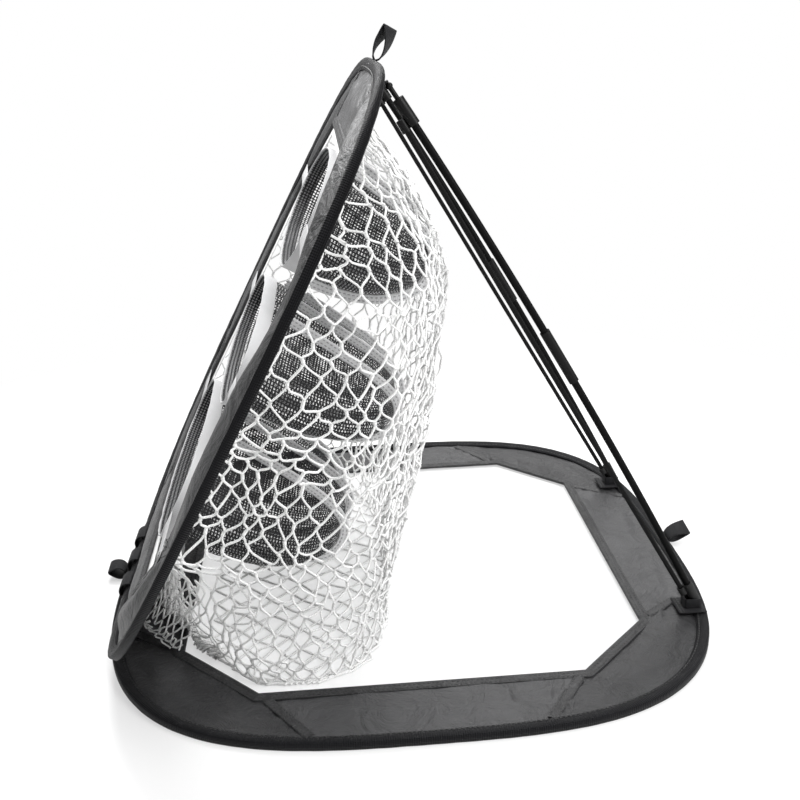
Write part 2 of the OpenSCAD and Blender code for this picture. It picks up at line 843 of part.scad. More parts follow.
mesh_of(pocket_middle);  // pocket_mesh_middle
mesh_of(pocket_bottom);  // pocket_mesh_bottom
tape_of(pocket_top);  // pocket_tape_top
tape_of(pocket_middle);  // pocket_tape_middle
tape_of(pocket_bottom);  // pocket_tape_bottom
pocket_side_ties();
catch_net();
catch_net_border();
color(near_black) upper_rod(-1);  // pole_left_upper_rod
color(near_black) lower_rod(-1);  // pole_left_lower_rod
color(near_black) ferrule(-1);  // pole_left_ferrule
color(near_black) top_fitting(-1);  // pole_left_top_fitting
color(near_black) foot(-1);  // pole_left_foot
color(near_black) tension_cord(-1);  // pole_left_tension_cord
color(near_black) upper_rod(1);  // pole_right_upper_rod
color(near_black) lower_rod(1);  // pole_right_lower_rod
color(near_black) ferrule(1);  // pole_right_ferrule
color(near_black) top_fitting(1);  // pole_right_top_fitting
color(near_black) foot(1);  // pole_right_foot
color(near_black) tension_cord(1);  // pole_right_tension_cord
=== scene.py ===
"""Golf chipping net: a leaning target with ball pockets and a catch net on a flat base."""

import math

import bpy
from mathutils import Matrix, Vector, noise


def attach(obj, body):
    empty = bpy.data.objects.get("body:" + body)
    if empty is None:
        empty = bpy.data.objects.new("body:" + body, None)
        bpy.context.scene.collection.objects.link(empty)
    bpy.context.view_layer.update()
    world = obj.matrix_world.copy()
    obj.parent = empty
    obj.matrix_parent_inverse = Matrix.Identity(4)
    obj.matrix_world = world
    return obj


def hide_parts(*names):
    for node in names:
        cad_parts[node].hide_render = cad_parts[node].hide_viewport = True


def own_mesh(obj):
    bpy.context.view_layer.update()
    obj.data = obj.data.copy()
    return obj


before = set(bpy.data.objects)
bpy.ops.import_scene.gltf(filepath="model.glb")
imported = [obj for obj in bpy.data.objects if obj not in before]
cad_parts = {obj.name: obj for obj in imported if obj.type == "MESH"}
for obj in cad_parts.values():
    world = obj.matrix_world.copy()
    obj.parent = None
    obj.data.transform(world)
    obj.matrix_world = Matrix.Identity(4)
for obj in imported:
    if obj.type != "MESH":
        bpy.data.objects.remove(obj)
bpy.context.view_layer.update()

bl_info = {
    "name": "Golf chipping net",
    "version": (1, 0, 0),
    "blender": (4, 5, 0),
    "location": "View3D > Sidebar > Chipping Net",
    "description": "Dresses a pop-up golf chipping net with its cloth, nets and webbing",
    "category": "Object",
}

# Sizes in metres, as in the part's source
PANEL_HALF_W = 0.255
BASE_HALF_D = 0.247
TARGET_HALF_H = 0.240
BASE_MID = 0.0035
SQUARENESS = 3.15
BORDER = 0.066
CORNER_CUT = 0.060
SEAM_SLOPE = math.tan(math.radians(35))
LEAN = math.radians(61.7)
HINGE = Vector((0.0, -0.236, 0.015245))
BINDING_W = 0.010
BINDING_T = 0.007
HEM_W = 0.009
HEM_HALF_T = 0.0016
STRAP_R = 0.006945
WEB_T = 0.0013
POCKETS = {
    "top": (0.118, 0.046, 0.358, 0.106),
    "middle": (0.130, 0.040, 0.240, 0.138),
    "bottom": (0.130, 0.046, 0.124, 0.146),
}
RIM_W = 0.012
RIM_T = 0.0016
RIM_FRONT = 0.0024
POLE_X = 0.118
POLE_TOP = Vector((0.0, -0.009121, 0.421206))
POLE_FOOT = Vector((0.0, 0.231, 0.0126))
LOOP_UP = 0.470
CORD_OFFSET = 0.00535
CORD_ENDS = (0.024, 0.460)

# Height, front, rear and half width of the net
NET_LEVELS = [
    (0.001, -0.164, -0.016, 0.178),
    (0.035, -0.186, -0.010, 0.184),
    (0.080, -0.206, 0.004, 0.186),
    (0.120, -0.238, 0.015, 0.190),
    (0.150, -0.220, 0.023, 0.190),
    (0.215, -0.178, 0.035, 0.190),
    (0.285, -0.130, 0.042, 0.190),
    (0.320, -0.100, 0.032, 0.184),
    (0.350, -0.066, 0.017, 0.158),
    (0.370, -0.052, 0.003, 0.135),
    (0.388, -0.046, -0.014, 0.112),
]
NET_START = 0.0041
NET_TOP = 0.387
NET_SQUARENESS = 3.2
NET_ROUND = 1.02

# How the soft pieces lie
CLOTH_UNDER_TAPE = 0.006
CLOTH_UNDER_HEM = 0.0028
PUFFS = {
    "base": (0.0022, 0.0022, 0.0022, 0.0022, 0.0022, 0.0, 0.0, 0.0),
    "target": (0.0080, 0.0080, 0.0030, 0.0030, 0.0030, 0.0030, 0.0030, 0.0080),
}
POCKET_SAG = 0.005
POCKET_RISE = 0.24
POCKET_ROUND = 2.6
MOUTH = 0.13
FIN_TALL = 0.0078
KNOT_SHARE = 0.12
ON_GROUND = 0.0014
OVER_CLOTH = 0.0080

X, Y, Z = Vector((1, 0, 0)), Vector((0, 1, 0)), Vector((0, 0, 1))
TURN = 2 * math.pi


def clamp(value, least=0.0, most=1.0):
    return max(least, min(most, value))


# ---------------------------------------------------------------- flat panels


class Panel:
    """One hoop panel: points are given flat, x across, y along and z off its middle."""

    def __init__(self, name, half_h, place):
        self.name = name
        self.half_w = PANEL_HALF_W
        self.half_h = half_h
        self.place = place
        self.up = (place(Z) - place(Vector((0, 0, 0)))).normalized()

    def at(self, p, z):
        """A flat point at a height off the middle, set in its place."""
        return self.place(Vector((p.x, p.y, z)))

    def edge(self, inset, angle):
        """Point of the hoop outline at a polar angle, drawn in by a distance."""
        c, s = math.cos(angle), math.sin(angle)
        n = SQUARENESS
        r = (abs(c / self.half_w) ** n + abs(s / self.half_h) ** n) ** (-1 / n)
        x, y = r * c, r * s
        gx = math.copysign(abs(x / self.half_w) ** (n - 1), x) / self.half_w
        gy = math.copysign(abs(y / self.half_h) ** (n - 1), y) / self.half_h
        g = math.hypot(gx, gy)
        return Vector((x - inset * gx / g, y - inset * gy / g, 0.0))

    def opening(self, grow):
        """Corners of the eight-sided opening, grown outwards, from the +X side on."""
        ax = self.half_w - BORDER + grow
        ay = self.half_h - BORDER + grow
        c = CORNER_CUT + grow * (2 - math.sqrt(2))
        flat = [(ax, -ay + c), (ax, ay - c), (ax - c, ay), (-ax + c, ay),
                (-ax, ay - c), (-ax, -ay + c), (-ax + c, -ay), (ax - c, -ay)]
        return [Vector((x, y, 0.0)) for x, y in flat]

    def opening_ring(self, per, grows):
        """Function that walks round the opening at each grow, in per steps to a side."""
        levels = {grow: self.opening(grow) for grow in grows}

        def ring(grow, i):
            edge, step = divmod(i % (8 * per), per)
            corners = levels[grow]
            return corners[edge].lerp(corners[(edge + 1) % 8], step / per)

        return ring

    def seam(self, k):
        """Start and direction of the seam at a corner of the opening."""
        t = SEAM_SLOPE
        ways = [(1, t), (1, -t), (-t, 1), (t, 1), (-1, -t), (-1, t), (t, -1), (-t, -1)]
        return self.opening(0.0)[k], Vector((*ways[k], 0.0)).normalized()

    def seam_end(self, k, inset):
        """Polar angle at which a seam meets the outline, and the seam's length."""
        start, way = self.seam(k)
        best = None
        centre = math.atan2(start.y, start.x)
        for i in range(-300, 301):
            a = centre + i * 0.0015
            p = self.edge(inset, a) - start
            off = abs(p.x * way.y - p.y * way.x)
            if p.dot(way) > 0 and (best is None or off < best[0]):
                best = (off, a, p.dot(way))
        return best[1], best[2]


def on_base(p):
    return Vector((p.x, p.y, p.z + BASE_MID))


def on_target(p):
    """Flat target point, y measured from the panel's middle, to the leaning panel."""
    v = p.y + TARGET_HALF_H - BINDING_W / 2
    return Vector((
        p.x,
        HINGE.y + v * math.cos(LEAN) - p.z * math.sin(LEAN),
        HINGE.z + v * math.sin(LEAN) + p.z * math.cos(LEAN),
    ))


def up_target(x, v, z):
    """Point of the leaning target, v measured up from its lower edge."""
    return on_target(Vector((x, v - TARGET_HALF_H, z)))


BASE = Panel("base", BASE_HALF_D, on_base)
TARGET = Panel("target", TARGET_HALF_H, on_target)
PANELS = (BASE, TARGET)
BACKWARD = Vector((0.0, math.sin(LEAN), -math.cos(LEAN)))


# ---------------------------------------------------------------- mesh building


def wobble(p, scale, seed=0.0):
    """Smooth noise about nought at a point."""
    return noise.noise(Vector((p[0], p[1], p[2])) * scale + Vector((seed, seed * 1.7, -seed)))


def running(points, closed=False):
    """Running length along points, with the closing length last when they are closed."""
    out = [0.0]
    for a, b in zip(points, points[1:] + points[:1] if closed else points[1:]):
        out.append(out[-1] + math.dist(a, b))
    return out


def heading(path, i):
    """Direction of a path at one of its points."""
    return (path[min(i + 1, len(path) - 1)] - path[max(i - 1, 0)]).normalized()


def oval(a, b, angle, n=2.3):
    """Point of a rounded oval; the higher n is, the squarer the oval."""
    c, s = math.cos(angle), math.sin(angle)
    return (a * math.copysign(abs(c) ** (2 / n), c), b * math.copysign(abs(s) ** (2 / n), s))


def soft_box(w, t, r, steps=4):
    """Rounded rectangle section: pairs of across and up, about its middle."""
    out = []
    for cx, cy, a0 in ((w / 2 - r, t / 2 - r, 0), (-w / 2 + r, t / 2 - r, 90),
                       (-w / 2 + r, -t / 2 + r, 180), (w / 2 - r, -t / 2 + r, 270)):
        for i in range(steps + 1):
            a = math.radians(a0 + 90 * i / steps)
            out.append((cx + r * math.cos(a), cy + r * math.sin(a)))
    return out


def two_faced(half):
    """Closed section of a folded tape from the half on its upper face."""
    return half + [(a, -z) for a, z in reversed(half[1:])]


class Shape:
    """Collects points and faces with cloth coordinates in metres."""

    def __init__(self):
        self.verts = []
        self.faces = []
        self.marks = []
        self.slots = []

    def face(self, corners, marks, slot):
        self.faces.append(corners)
        self.marks.append(marks)
        self.slots.append(slot)

    def lump(self, verts, faces, slot):
        """A small solid without cloth coordinates."""
        start = len(self.verts)
        self.verts += verts
        for corners in faces:
            self.face([start + k for k in corners], [(0.0, 0.0)] * len(corners), slot)

    def grid(self, rows, cols, point, mark, loop=False, flip=False):
        """A sheet of rows by cols points. A looped sheet closes along its columns."""
        start = len(self.verts)
        self.verts += [point(i, j) for i in range(rows) for j in range(cols)]
        for i in range(rows - 1):
            low, high = start + i * cols, start + (i + 1) * cols
            for j in range(cols if loop else cols - 1):
                k = (j + 1) % cols
                corners = [low + j, low + k, high + k, high + j]
                marks = [mark(i, j), mark(i, j + 1), mark(i + 1, j + 1), mark(i + 1, j)]
                if flip:
                    corners.reverse()
                    marks.reverse()
                self.face(corners, marks, 0)

    def sleeve(self, run, section, point):
        """A closed section swept on; point takes the step and the section's two measures."""
        around = running(section, closed=True)
        self.grid(len(run), len(section), lambda i, j: point(i, *section[j]),
                  lambda i, j: (run[i], around[j]), loop=True)

    def caps(self, rows, cols, mark):
        """Closes both ends of the looped sheet that was made last."""
        first = len(self.verts) - rows * cols
        for ring in (0, rows - 1):
            corners = [first + ring * cols + j for j in range(cols)]
            if ring == 0:
                corners.reverse()
            self.face(corners, [mark(ring, j) for j in range(cols)], 0)

    def tube(self, path, radius, sides=5, caps=False):
        """A round cord along a path, whose radius can change with the share of its way."""
        size = radius if callable(radius) else lambda share: radius
        verts, side = [], None
        for i, p in enumerate(path):
            way = heading(path, i)
            if side is None:
                side = way.orthogonal().normalized()
            side = (side - way * side.dot(way)).normalized()
            over = way.cross(side)
            r = size(i / (len(path) - 1))
            for j in range(sides):
                a = TURN * j / sides
                verts.append(p + (side * math.cos(a) + over * math.sin(a)) * r)
        run = running(path)
        round_step = TURN * size(0.5) / sides
        self.grid(len(path), sides, lambda i, j: verts[i * sides + j],
                  lambda i, j: (run[i], round_step * j), loop=True)
        if caps:
            self.caps(len(path), sides, lambda i, j: (run[i], 0.0))

    def ribbon(self, path, width_way, width, thick, wave=0.0):
        """Flat webbing along a path, with rounded edges."""
        section = soft_box(width, thick, thick * 0.48, 2)
        run = running(path)
        ups = [width_way.cross(heading(path, i)).normalized() for i in range(len(path))]

        def point(i, across, up):
            ripple = wave * wobble((run[i], across, 0.0), 160.0, 3.1)
            return path[i] + width_way * across + ups[i] * (up + ripple)

        self.sleeve(run, section, point)
        self.caps(len(path), len(section), lambda i, j: (run[i] + section[j][1], section[j][0]))

    def bead(self, centre, size):
        """A small knot: an eight-sided lump."""
        verts = [centre + way * size for way in (X, -X, Y, -Y, Z, -Z)]
        self.lump(verts, ((0, 2, 4), (2, 1, 4), (1, 3, 4), (3, 0, 4),
                          (2, 0, 5), (1, 2, 5), (3, 1, 5), (0, 3, 5)), 0)

    def stitch(self, centre, along, up, length=0.0026, width=0.0005):
        """One thread stitch, a low pointed dash that stands a little proud."""
        half = along * (length / 2)
        side = along.cross(up).normalized() * width
        rise = up * width
        verts = [centre - half]
        verts += [centre + half * end + side * way + rise * 0.5
                  for end in (-0.5, 0.5) for way in (1, -1)]
        verts.append(centre + half)
        verts += [centre + half * end + rise * 1.2 for end in (-0.4, 0.4)]
        self.lump(verts, ((0, 1, 6), (0, 6, 2), (1, 3, 7, 6), (2, 6, 7, 4),
                          (3, 5, 7), (4, 7, 5)), 1)

    def stitch_row(self, path, up, pitch=0.0036):
        """Stitches along a path, with the surface's outward direction."""
        left = 0.0
        for p, q in zip(path, path[1:]):
            span = (q - p).length
            way = (q - p).normalized()
            while left < span:
                self.stitch(p + way * left, way, up)
                left += pitch
            left -= span

    def piece(self, name, body, finishes, node):
        """Makes the object that shows a node, with its finishes, and sets it on its body."""
        mesh = bpy.data.meshes.new(name)
        mesh.from_pydata([tuple(v) for v in self.verts], [], self.faces)
        layer = mesh.uv_layers.new(name="cloth")
        layer.data.foreach_set("uv", [c for marks in self.marks for mark in marks for c in mark])
        for finish in finishes:
            mesh.materials.append(finish_of(finish))
        mesh.polygons.foreach_set("material_index", self.slots)
        mesh.polygons.foreach_set("use_smooth", [True] * len(self.faces))
        mesh.update()
        obj = bpy.data.objects.new(name, mesh)
        bpy.context.scene.collection.objects.link(obj)
        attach(obj, body)
        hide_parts(node)
        return obj

    def area(self):
        total = 0.0
        for corners in self.faces:
            p = [self.verts[k] for k in corners]
            for i in range(1, len(p) - 1):
                total += (p[i] - p[0]).cross(p[i + 1] - p[0]).length / 2
        return total


# ---------------------------------------------------------------- finishes


def maths(operation, swapped=False):
    """Method that joins a value and others with one kind of maths."""
    def join(self, *others):
        values = (*others, self) if swapped else (self, *others)
        return self.finish.value("ShaderNodeMath", {"operation": operation},
                                 dict(enumerate(values)))
    return join


class Val:
    """A shader value that can be added, scaled and compared like a number."""

    def __init__(self, finish, socket):
        self.finish = finish
        self.socket = socket

    __add__ = maths("ADD")
    __sub__ = maths("SUBTRACT")
    __rsub__ = maths("SUBTRACT", swapped=True)
    __mul__ = maths("MULTIPLY")
    __truediv__ = maths("DIVIDE")
    __lt__ = maths("LESS_THAN")
    fract = maths("FRACT")
    sine = maths("SINE")
    absolute = maths("ABSOLUTE")
    least = maths("MINIMUM")
    most = maths("MAXIMUM")

    def as_share(self):
        """From -1 to 1, made 0 to 1."""
        return self * 0.5 + 0.5

    def waves(self, pitch):
        """Sine waves of a pitch along a length, from -1 to 1."""
        return (self * (TURN / pitch)).sine()


class Finish:
    """The nodes of one material or of the surround."""

    def __init__(self, name, holder=None):
        self.holder = holder or bpy.data.materials.new(name)
        self.holder.use_nodes = True
        self.tree = self.holder.node_tree
        self.tree.nodes.clear()

    def node(self, kind, settings=None, values=None):
        node = self.tree.nodes.new(kind)
        for key, value in (settings or {}).items():
            setattr(node, key, value)
        for key, value in (values or {}).items():
            socket = node.inputs[key]
            if isinstance(value, Val):
                self.tree.links.new(value.socket, socket)
            elif isinstance(value, bpy.types.NodeSocket):
                self.tree.links.new(value, socket)
            else:
                socket.default_value = value
        return node

    def value(self, kind, settings=None, values=None, out=0):
        return Val(self, self.node(kind, settings, values).outputs[out])

    def cloth_marks(self):
        """Cloth coordinates in metres, as two values."""
        uv = self.node("ShaderNodeUVMap", {"uv_map": "cloth"})
        parts = self.node("ShaderNodeSeparateXYZ", None, {0: uv.outputs[0]})
        return Val(self, parts.outputs[0]), Val(self, parts.outputs[1])

    def grain(self, scale, detail=3.0, rough=0.55, distortion=0.0):
        """Noise fixed to the object, from 0 to 1."""
        place = self.node("ShaderNodeTexCoord")
        return self.value("ShaderNodeTexNoise", None, {
            "Vector": place.outputs["Object"], "Scale": scale,
            "Detail": detail, "Roughness": rough, "Distortion": distortion})

    def shade(self, mask, low, high):
        """Colour that goes from low to high with a mask."""
        return self.node("ShaderNodeMix", {"data_type": "RGBA"},
                         {0: mask, 6: (*low, 1.0), 7: (*high, 1.0)}).outputs[2]

    def tinted(self, mask, setting, low, high):
        """A colour of the settings, from darker to lighter with a mask."""
        base = tuple(getattr(bpy.context.scene.chipnet_colours, setting))[:3]
        return self.shade(mask, [c * low for c in base], [min(1.0, c * high) for c in base])

    def bump(self, height, distance, strength=1.0, under=None):
        values = {"Height": height, "Distance": distance, "Strength": strength}
        if under is not None:
            values["Normal"] = under
        return self.node("ShaderNodeBump", None, values).outputs[0]

    def show(self, shader, kind="ShaderNodeOutputMaterial"):
        self.node(kind, None, {0: shader.outputs[0]})
        return self.holder

    def finish(self, colour, roughness, normal, specular=0.5, sheen=(0.0, 0.5),
               metallic=0.0, alpha=1.0):
        return self.show(self.node("ShaderNodeBsdfPrincipled", None, {
            "Base Color": colour, "Roughness": roughness, "Normal": normal,
            "Specular IOR Level": specular, "Metallic": metallic, "Alpha": alpha,
            "Sheen Weight": sheen[0], "Sheen Roughness": sheen[1]}))


def weave(across, along, pitch):
    """Plain weave height from 0 to 1: threads pass over and under each other."""
    return (across.waves(pitch) * along.waves(pitch)).as_share()


def crossed(u, v, along, around):
    """Slanting ribs that lean both ways, from 0 to 1."""
    lean, turn = u * (TURN / along), v * (TURN / around)
    return ((lean + turn).sine() * (lean - turn).sine()).as_share()


def make_cloth(f, setting):
    """Woven border cloth with soft creases."""
    u, v = f.cloth_marks()
    threads = weave(u, v, 0.0011)
    blotch, fine = f.grain(9.0, 4.0), f.grain(420.0, 2.0)
    creases = f.bump(f.grain(34.0, 5.0, 0.6, 0.8), 0.0060, 0.9)
    return f.finish(f.tinted(blotch * 0.75 + threads * 0.25, setting, 0.50, 1.60),
                    fine * 0.12 + blotch * 0.18 + 0.34,
                    f.bump(threads, 0.00022, 0.6, creases), 0.36, (0.05, 0.42))


def make_edge_tape(f, setting):
    u, v = f.cloth_marks()
    ribs, cross = u.waves(0.0016).as_share(), v.waves(0.0012).as_share()
    blotch, fuzz = f.grain(16.0, 4.0), f.grain(900.0, 2.0)
    return f.finish(f.tinted(ribs * 0.35 + blotch * 0.4 + fuzz * 0.25, setting, 0.4, 1.9),
                    fuzz * 0.2 + 0.45, f.bump(ribs * 0.6 + cross * 0.4, 0.00045, 0.9),
                    0.11, (0.06, 0.35))


def make_webbing(f, setting):
    ribs = crossed(*f.cloth_marks(), 0.0019, 0.0026)
    fuzz = f.grain(700.0, 2.0)
    return f.finish(f.tinted(ribs * 0.6 + fuzz * 0.4, setting, 0.5, 2.0), fuzz * 0.2 + 0.55,
                    f.bump(ribs, 0.00035, 0.8), 0.2, (0.04, 0.5))


def make_light_tape(f, setting):
    u, v = f.cloth_marks()
    ribs, threads = u.waves(0.0014).as_share(), weave(u, v, 0.0013)
    blotch = f.grain(30.0, 4.0)
    return f.finish(f.tinted(blotch * 0.55 + threads * 0.45, setting, 0.72, 1.25),
                    blotch * 0.2 + 0.6, f.bump(ribs * 0.5 + threads * 0.5, 0.0003, 0.7),
                    0.3, (0.15, 0.5))


def make_pocket_mesh(f, setting, pitch=0.0027, half_hole=0.30):
    """Fine square mesh: the holes between the threads are see-through."""
    u, v = f.cloth_marks()
    wander = f.grain(22.0, 2.0) * 0.5
    a, b = (((mark / pitch + wander).fract() - 0.5).absolute() for mark in (u, v))
    hole = (a < half_hole) * (b < half_hole)
    strand, blotch = a.most(b), f.grain(40.0, 3.0)
    return f.finish(f.tinted(strand + blotch * 0.4, setting, 0.6, 1.8), blotch * 0.2 + 0.6,
                    f.bump(strand, 0.0005, 0.6), 0.3, alpha=1.0 - hole)


def make_net_cord(f, setting):
    u, v = f.cloth_marks()
    twist = (u * (TURN / 0.0022) + v * (TURN / 0.003)).sine().as_share()
    blotch = f.grain(25.0, 4.0)
    return f.finish(f.tinted(twist * 0.4 + blotch * 0.6, setting, 0.8, 1.08),
                    twist * 0.15 + 0.55, f.bump(twist, 0.0002, 0.6), 0.35, (0.1, 0.5))


def grey(level, tint=0.0):
    return (level, level, level * (1 + tint))


def make_braid(f):
    plait = crossed(*f.cloth_marks(), 0.003, 0.0042)
    fuzz = f.grain(600.0, 2.0)
    return f.finish(f.shade(plait * 0.6 + fuzz * 0.4, grey(0.003), grey(0.016)),
                    fuzz * 0.2 + 0.55, f.bump(plait, 0.0004, 0.8), 0.06)


def make_worn(f, fine, worn, shades, rough, specular, bump, tint=0.0, metallic=0.0):
    """A plain surface: a fine texture under a slower pattern of wear."""
    texture, wear = f.grain(*fine), f.grain(*worn)
    shares = [mask * share for mask, share in zip((texture, wear), rough) if share]
    return f.finish(f.shade(wear, *(grey(level, tint) for level in shades)),
                    sum(shares[1:] + [rough[2]], shares[0]),
                    f.bump(texture, *bump), specular, metallic=metallic)


MAKERS = {
    "border cloth": (make_cloth, "cloth"),
    # darker corner cloth: its own darker tone, deepened further as painted shade, and reused as
    # painted shade along the hems and seam tapes
    "corner cloth": (make_cloth, "corner_cloth"),
    "edge tape": (make_edge_tape, "tape"),
    "webbing": (make_webbing, "webbing"),
    "grey tape": (make_light_tape, "grey_tape"),
    "seam tape": (make_light_tape, "seam_tape"),
    "pocket mesh": (make_pocket_mesh, "pocket_mesh"),
    "net cord": (make_net_cord, "net"),
    "braided cord": (make_braid,),
    "thread": (make_worn, (1500.0, 1.0), (1500.0, 1.0), (0.006, 0.022),
               (0.2, 0.0, 0.5), 0.5, (0.0001, 0.5)),
    "glass-fibre rod": (make_worn, (300.0, 3.0, 0.5), (40.0, 5.0), (0.003, 0.007),
                        (0.16, 0.14, 0.34), 0.05, (0.00012, 0.4)),
    "ferrule metal": (make_worn, (500.0, 3.0), (60.0, 4.0), (0.004, 0.010),
                      (0.16, 0.12, 0.30), 0.12, (0.00008, 0.4)),
    "spring steel": (make_worn, (350.0, 3.0), (45.0, 4.0), (0.32, 0.5),
                     (0.2, 0.0, 0.25), 0.5, (0.00008, 0.4), 0.03, 1.0),
    "moulded fitting": (make_worn, (800.0, 3.0), (70.0, 4.0), (0.004, 0.011),
                        (0.15, 0.15, 0.28), 0.14, (0.0001, 0.5)),
    "rubber foot": (make_worn, (900.0, 3.0), (50.0, 5.0), (0.008, 0.028),
                    (0.0, 0.15, 0.72), 0.3, (0.00015, 0.6)),
}
FINISHES = {}


def finish_of(name):
    """A finish is made once and shared by the pieces that use it."""
    if name not in FINISHES:
        maker, *values = MAKERS[name]
        FINISHES[name] = maker(Finish(name), *values)
    return FINISHES[name]


def dress(node, finish):
    """Gives a CAD node its finish, without touching its mesh."""
    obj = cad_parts[node]
    if not obj.material_slots:
        raise RuntimeError(f"{node} has no material slot")
    for slot in obj.material_slots:
        slot.link = "OBJECT"
        slot.material = finish_of(finish)


# ---------------------------------------------------------------- settings


class ChipnetColours(bpy.types.PropertyGroup):
    """Colours of the cloths and cords."""

    cloth: bpy.props.FloatVectorProperty(
        name="Border cloth", description="Colour of the woven border cloth",
        subtype="COLOR", size=3, min=0, max=1, default=(0.040, 0.040, 0.0415))
    # Darker cloth of the corner pieces: partly their own tone and partly painted shade; the hems
    # and seam tapes use it as painted shade in their folds
    corner_cloth: bpy.props.FloatVectorProperty(
        name="Corner cloth", description="Colour of the cloth of the corner pieces",
        subtype="COLOR", size=3, min=0, max=1, default=(0.019, 0.019, 0.020))
    tape: bpy.props.FloatVectorProperty(
        name="Edge tape", description="Colour of the tape round the hoops",
        subtype="COLOR", size=3, min=0, max=1, default=(0.005, 0.005, 0.006))
    webbing: bpy.props.FloatVectorProperty(
        name="Webbing", description="Colour of the pull tabs and straps",
        subtype="COLOR", size=3, min=0, max=1, default=(0.007, 0.007, 0.008))
    grey_tape: bpy.props.FloatVectorProperty(
        name="Grey tape", description="Colour of the pockets' rims and ties",
        subtype="COLOR", size=3, min=0, max=1, default=(0.42, 0.42, 0.425))
    seam_tape: bpy.props.FloatVectorProperty(
        name="Seam tape", description="Colour of the tapes on the pockets' seams",
        subtype="COLOR", size=3, min=0, max=1, default=(0.74, 0.74, 0.745))
    pocket_mesh: bpy.props.FloatVectorProperty(
        name="Pocket mesh", description="Colour of the pockets' mesh",
        subtype="COLOR", size=3, min=0, max=1, default=(0.010, 0.010, 0.011))
    net: bpy.props.FloatVectorProperty(
        name="Catch net", description="Colour of the knotted net",
        subtype="COLOR", size=3, min=0, max=1, default=(0.88, 0.88, 0.875))


class ChipnetSizes(bpy.types.PropertyGroup):
    """Sizes of the soft details."""

    net_cell: bpy.props.FloatProperty(
        name="Net cell", description="Side of one cell of the catch net",
        unit="LENGTH", min=0.010, max=0.030, default=0.0155)
    net_cord: bpy.props.FloatProperty(
        name="Net cord", description="Radius of the catch net's cord",
        unit="LENGTH", min=0.0004, max=0.0015, default=0.00095)
    net_slack: bpy.props.FloatProperty(
        name="Net slack", description="How far the net's knots wander from an even net",
        unit="LENGTH", min=0.0, max=0.006, default=0.0033)
    stitch_pitch: bpy.props.FloatProperty(
        name="Stitch pitch", description="Distance from one stitch to the next",
        unit="LENGTH", min=0.0025, max=0.006, default=0.0036)
    wrinkle: bpy.props.FloatProperty(
        name="Cloth wrinkles", description="Height of the border cloth's wrinkles",
        unit="LENGTH", min=0.0, max=0.003, default=0.0015)


# ---------------------------------------------------------------- stage

# Name, place, aim, size and power
LAMPS = (
    ("lamp over", (0.2, 0.2, 2.2), (0.0, 0.0, 0.0), 1.6, 26.0),
    ("lamp rear", (-1.5, 0.5, 1.5), (0.1, 0.0, 0.0), 1.1, 30.0),
    ("lamp near", (1.1, 1.5, 1.15), (0.0, 0.05, 0.15), 0.8, 30.0),
    ("lamp top", (-0.30, -0.26, 0.80), (0.0, -0.02, 0.44), 0.25, 5.5),
)
CAMERA_AT = Vector((0.8109, -0.0604, 0.4610))
CAMERA_TURN = (85.60, 20.58, -1.44)
WHITE = (1, 1, 1, 1)


class CHIPNET_OT_stage(bpy.types.Operator):
    """Sets the floor, the soft lamps, the white surround and the camera"""

    bl_idname = "chipnet.stage"
    bl_label = "Stage"

    def execute(self, context):
        context.scene.view_settings.view_transform = "Standard"
        self.floor()
        self.surround(context.scene)
        for lamp in LAMPS:
            self.lamp(*lamp)
        self.camera(context.scene)
        return {"FINISHED"}

    def camera(self, scene):
        camera = bpy.data.objects.new("camera", bpy.data.cameras.new("camera"))
        scene.collection.objects.link(camera)
        camera.data.lens = 45.41
        camera.data.sensor_width = 36.0
        camera.data.clip_start = 0.05
        az, el, roll = (math.radians(turn) for turn in CAMERA_TURN)
        back = Vector((math.sin(az) * math.cos(el), -math.cos(az) * math.cos(el), math.sin(el)))
        side = Z.cross(back).normalized()
        up = back.cross(side)
        right = side * math.cos(roll) + up * math.sin(roll)
        top = up * math.cos(roll) - side * math.sin(roll)
        turn = Matrix((right, top, back)).transposed().to_4x4()
        camera.matrix_world = Matrix.Translation(CAMERA_AT) @ turn
        scene.camera = camera

    def floor(self):
        mesh = bpy.data.meshes.new("floor")
        corners = [(-30, -30, 0), (30, -30, 0), (30, 30, 0), (-30, 30, 0)]
        mesh.from_pydata(corners, [], [(0, 1, 2, 3)])
        obj = bpy.data.objects.new("floor", mesh)
        bpy.context.scene.collection.objects.link(obj)
        f = Finish("floor")
        matt = f.node("ShaderNodeBsdfDiffuse", None, {"Color": (0.86, 0.86, 0.86, 1)})
        glow = f.node("ShaderNodeEmission", None, {"Color": WHITE, "Strength": 1.0})
        camera, glossy, through = self.rays(f, "Camera", "Glossy", "Transmission")
        place = f.node("ShaderNodeTexCoord").outputs["Object"]
        reach = f.value("ShaderNodeVectorMath", {"operation": "LENGTH"}, {0: place}, out=1)
        away = ((reach - 0.30) * 2.2).most(0.0).least(1.0)
        mesh.materials.append(f.show(f.node("ShaderNodeMixShader", None, {
            0: camera.most(glossy).most(through) * (away * 0.48 + 0.52),
            1: matt.outputs[0], 2: glow.outputs[0]})))

    def rays(self, f, *kinds):
        """Values that are 1 for these kinds of rays."""
        light = f.node("ShaderNodeLightPath")
        return [Val(f, light.outputs[f"Is {kind} Ray"]) for kind in kinds]

    def surround(self, scene):
        f = Finish("surround", bpy.data.worlds.new("surround"))
        camera, through = self.rays(f, "Camera", "Transmission")
        dim, white = (f.node("ShaderNodeBackground", None, {0: WHITE, 1: power})
                      for power in (0.42, 1.0))
        scene.world = f.show(f.node("ShaderNodeMixShader", None, {
            0: camera.most(through), 1: dim.outputs[0], 2: white.outputs[0]}),
            "ShaderNodeOutputWorld")

    def lamp(self, name, place, target, size, power):
        data = bpy.data.lights.new(name, "AREA")
        data.shape = "DISK"
        data.size = size
        data.energy = power
        obj = bpy.data.objects.new(name, data)
        obj.location = place
        obj.rotation_euler = (Vector(target) - Vector(place)).to_track_quat("-Z", "Y").to_euler()
        bpy.context.scene.collection.objects.link(obj)


# ---------------------------------------------------------------- the two panels

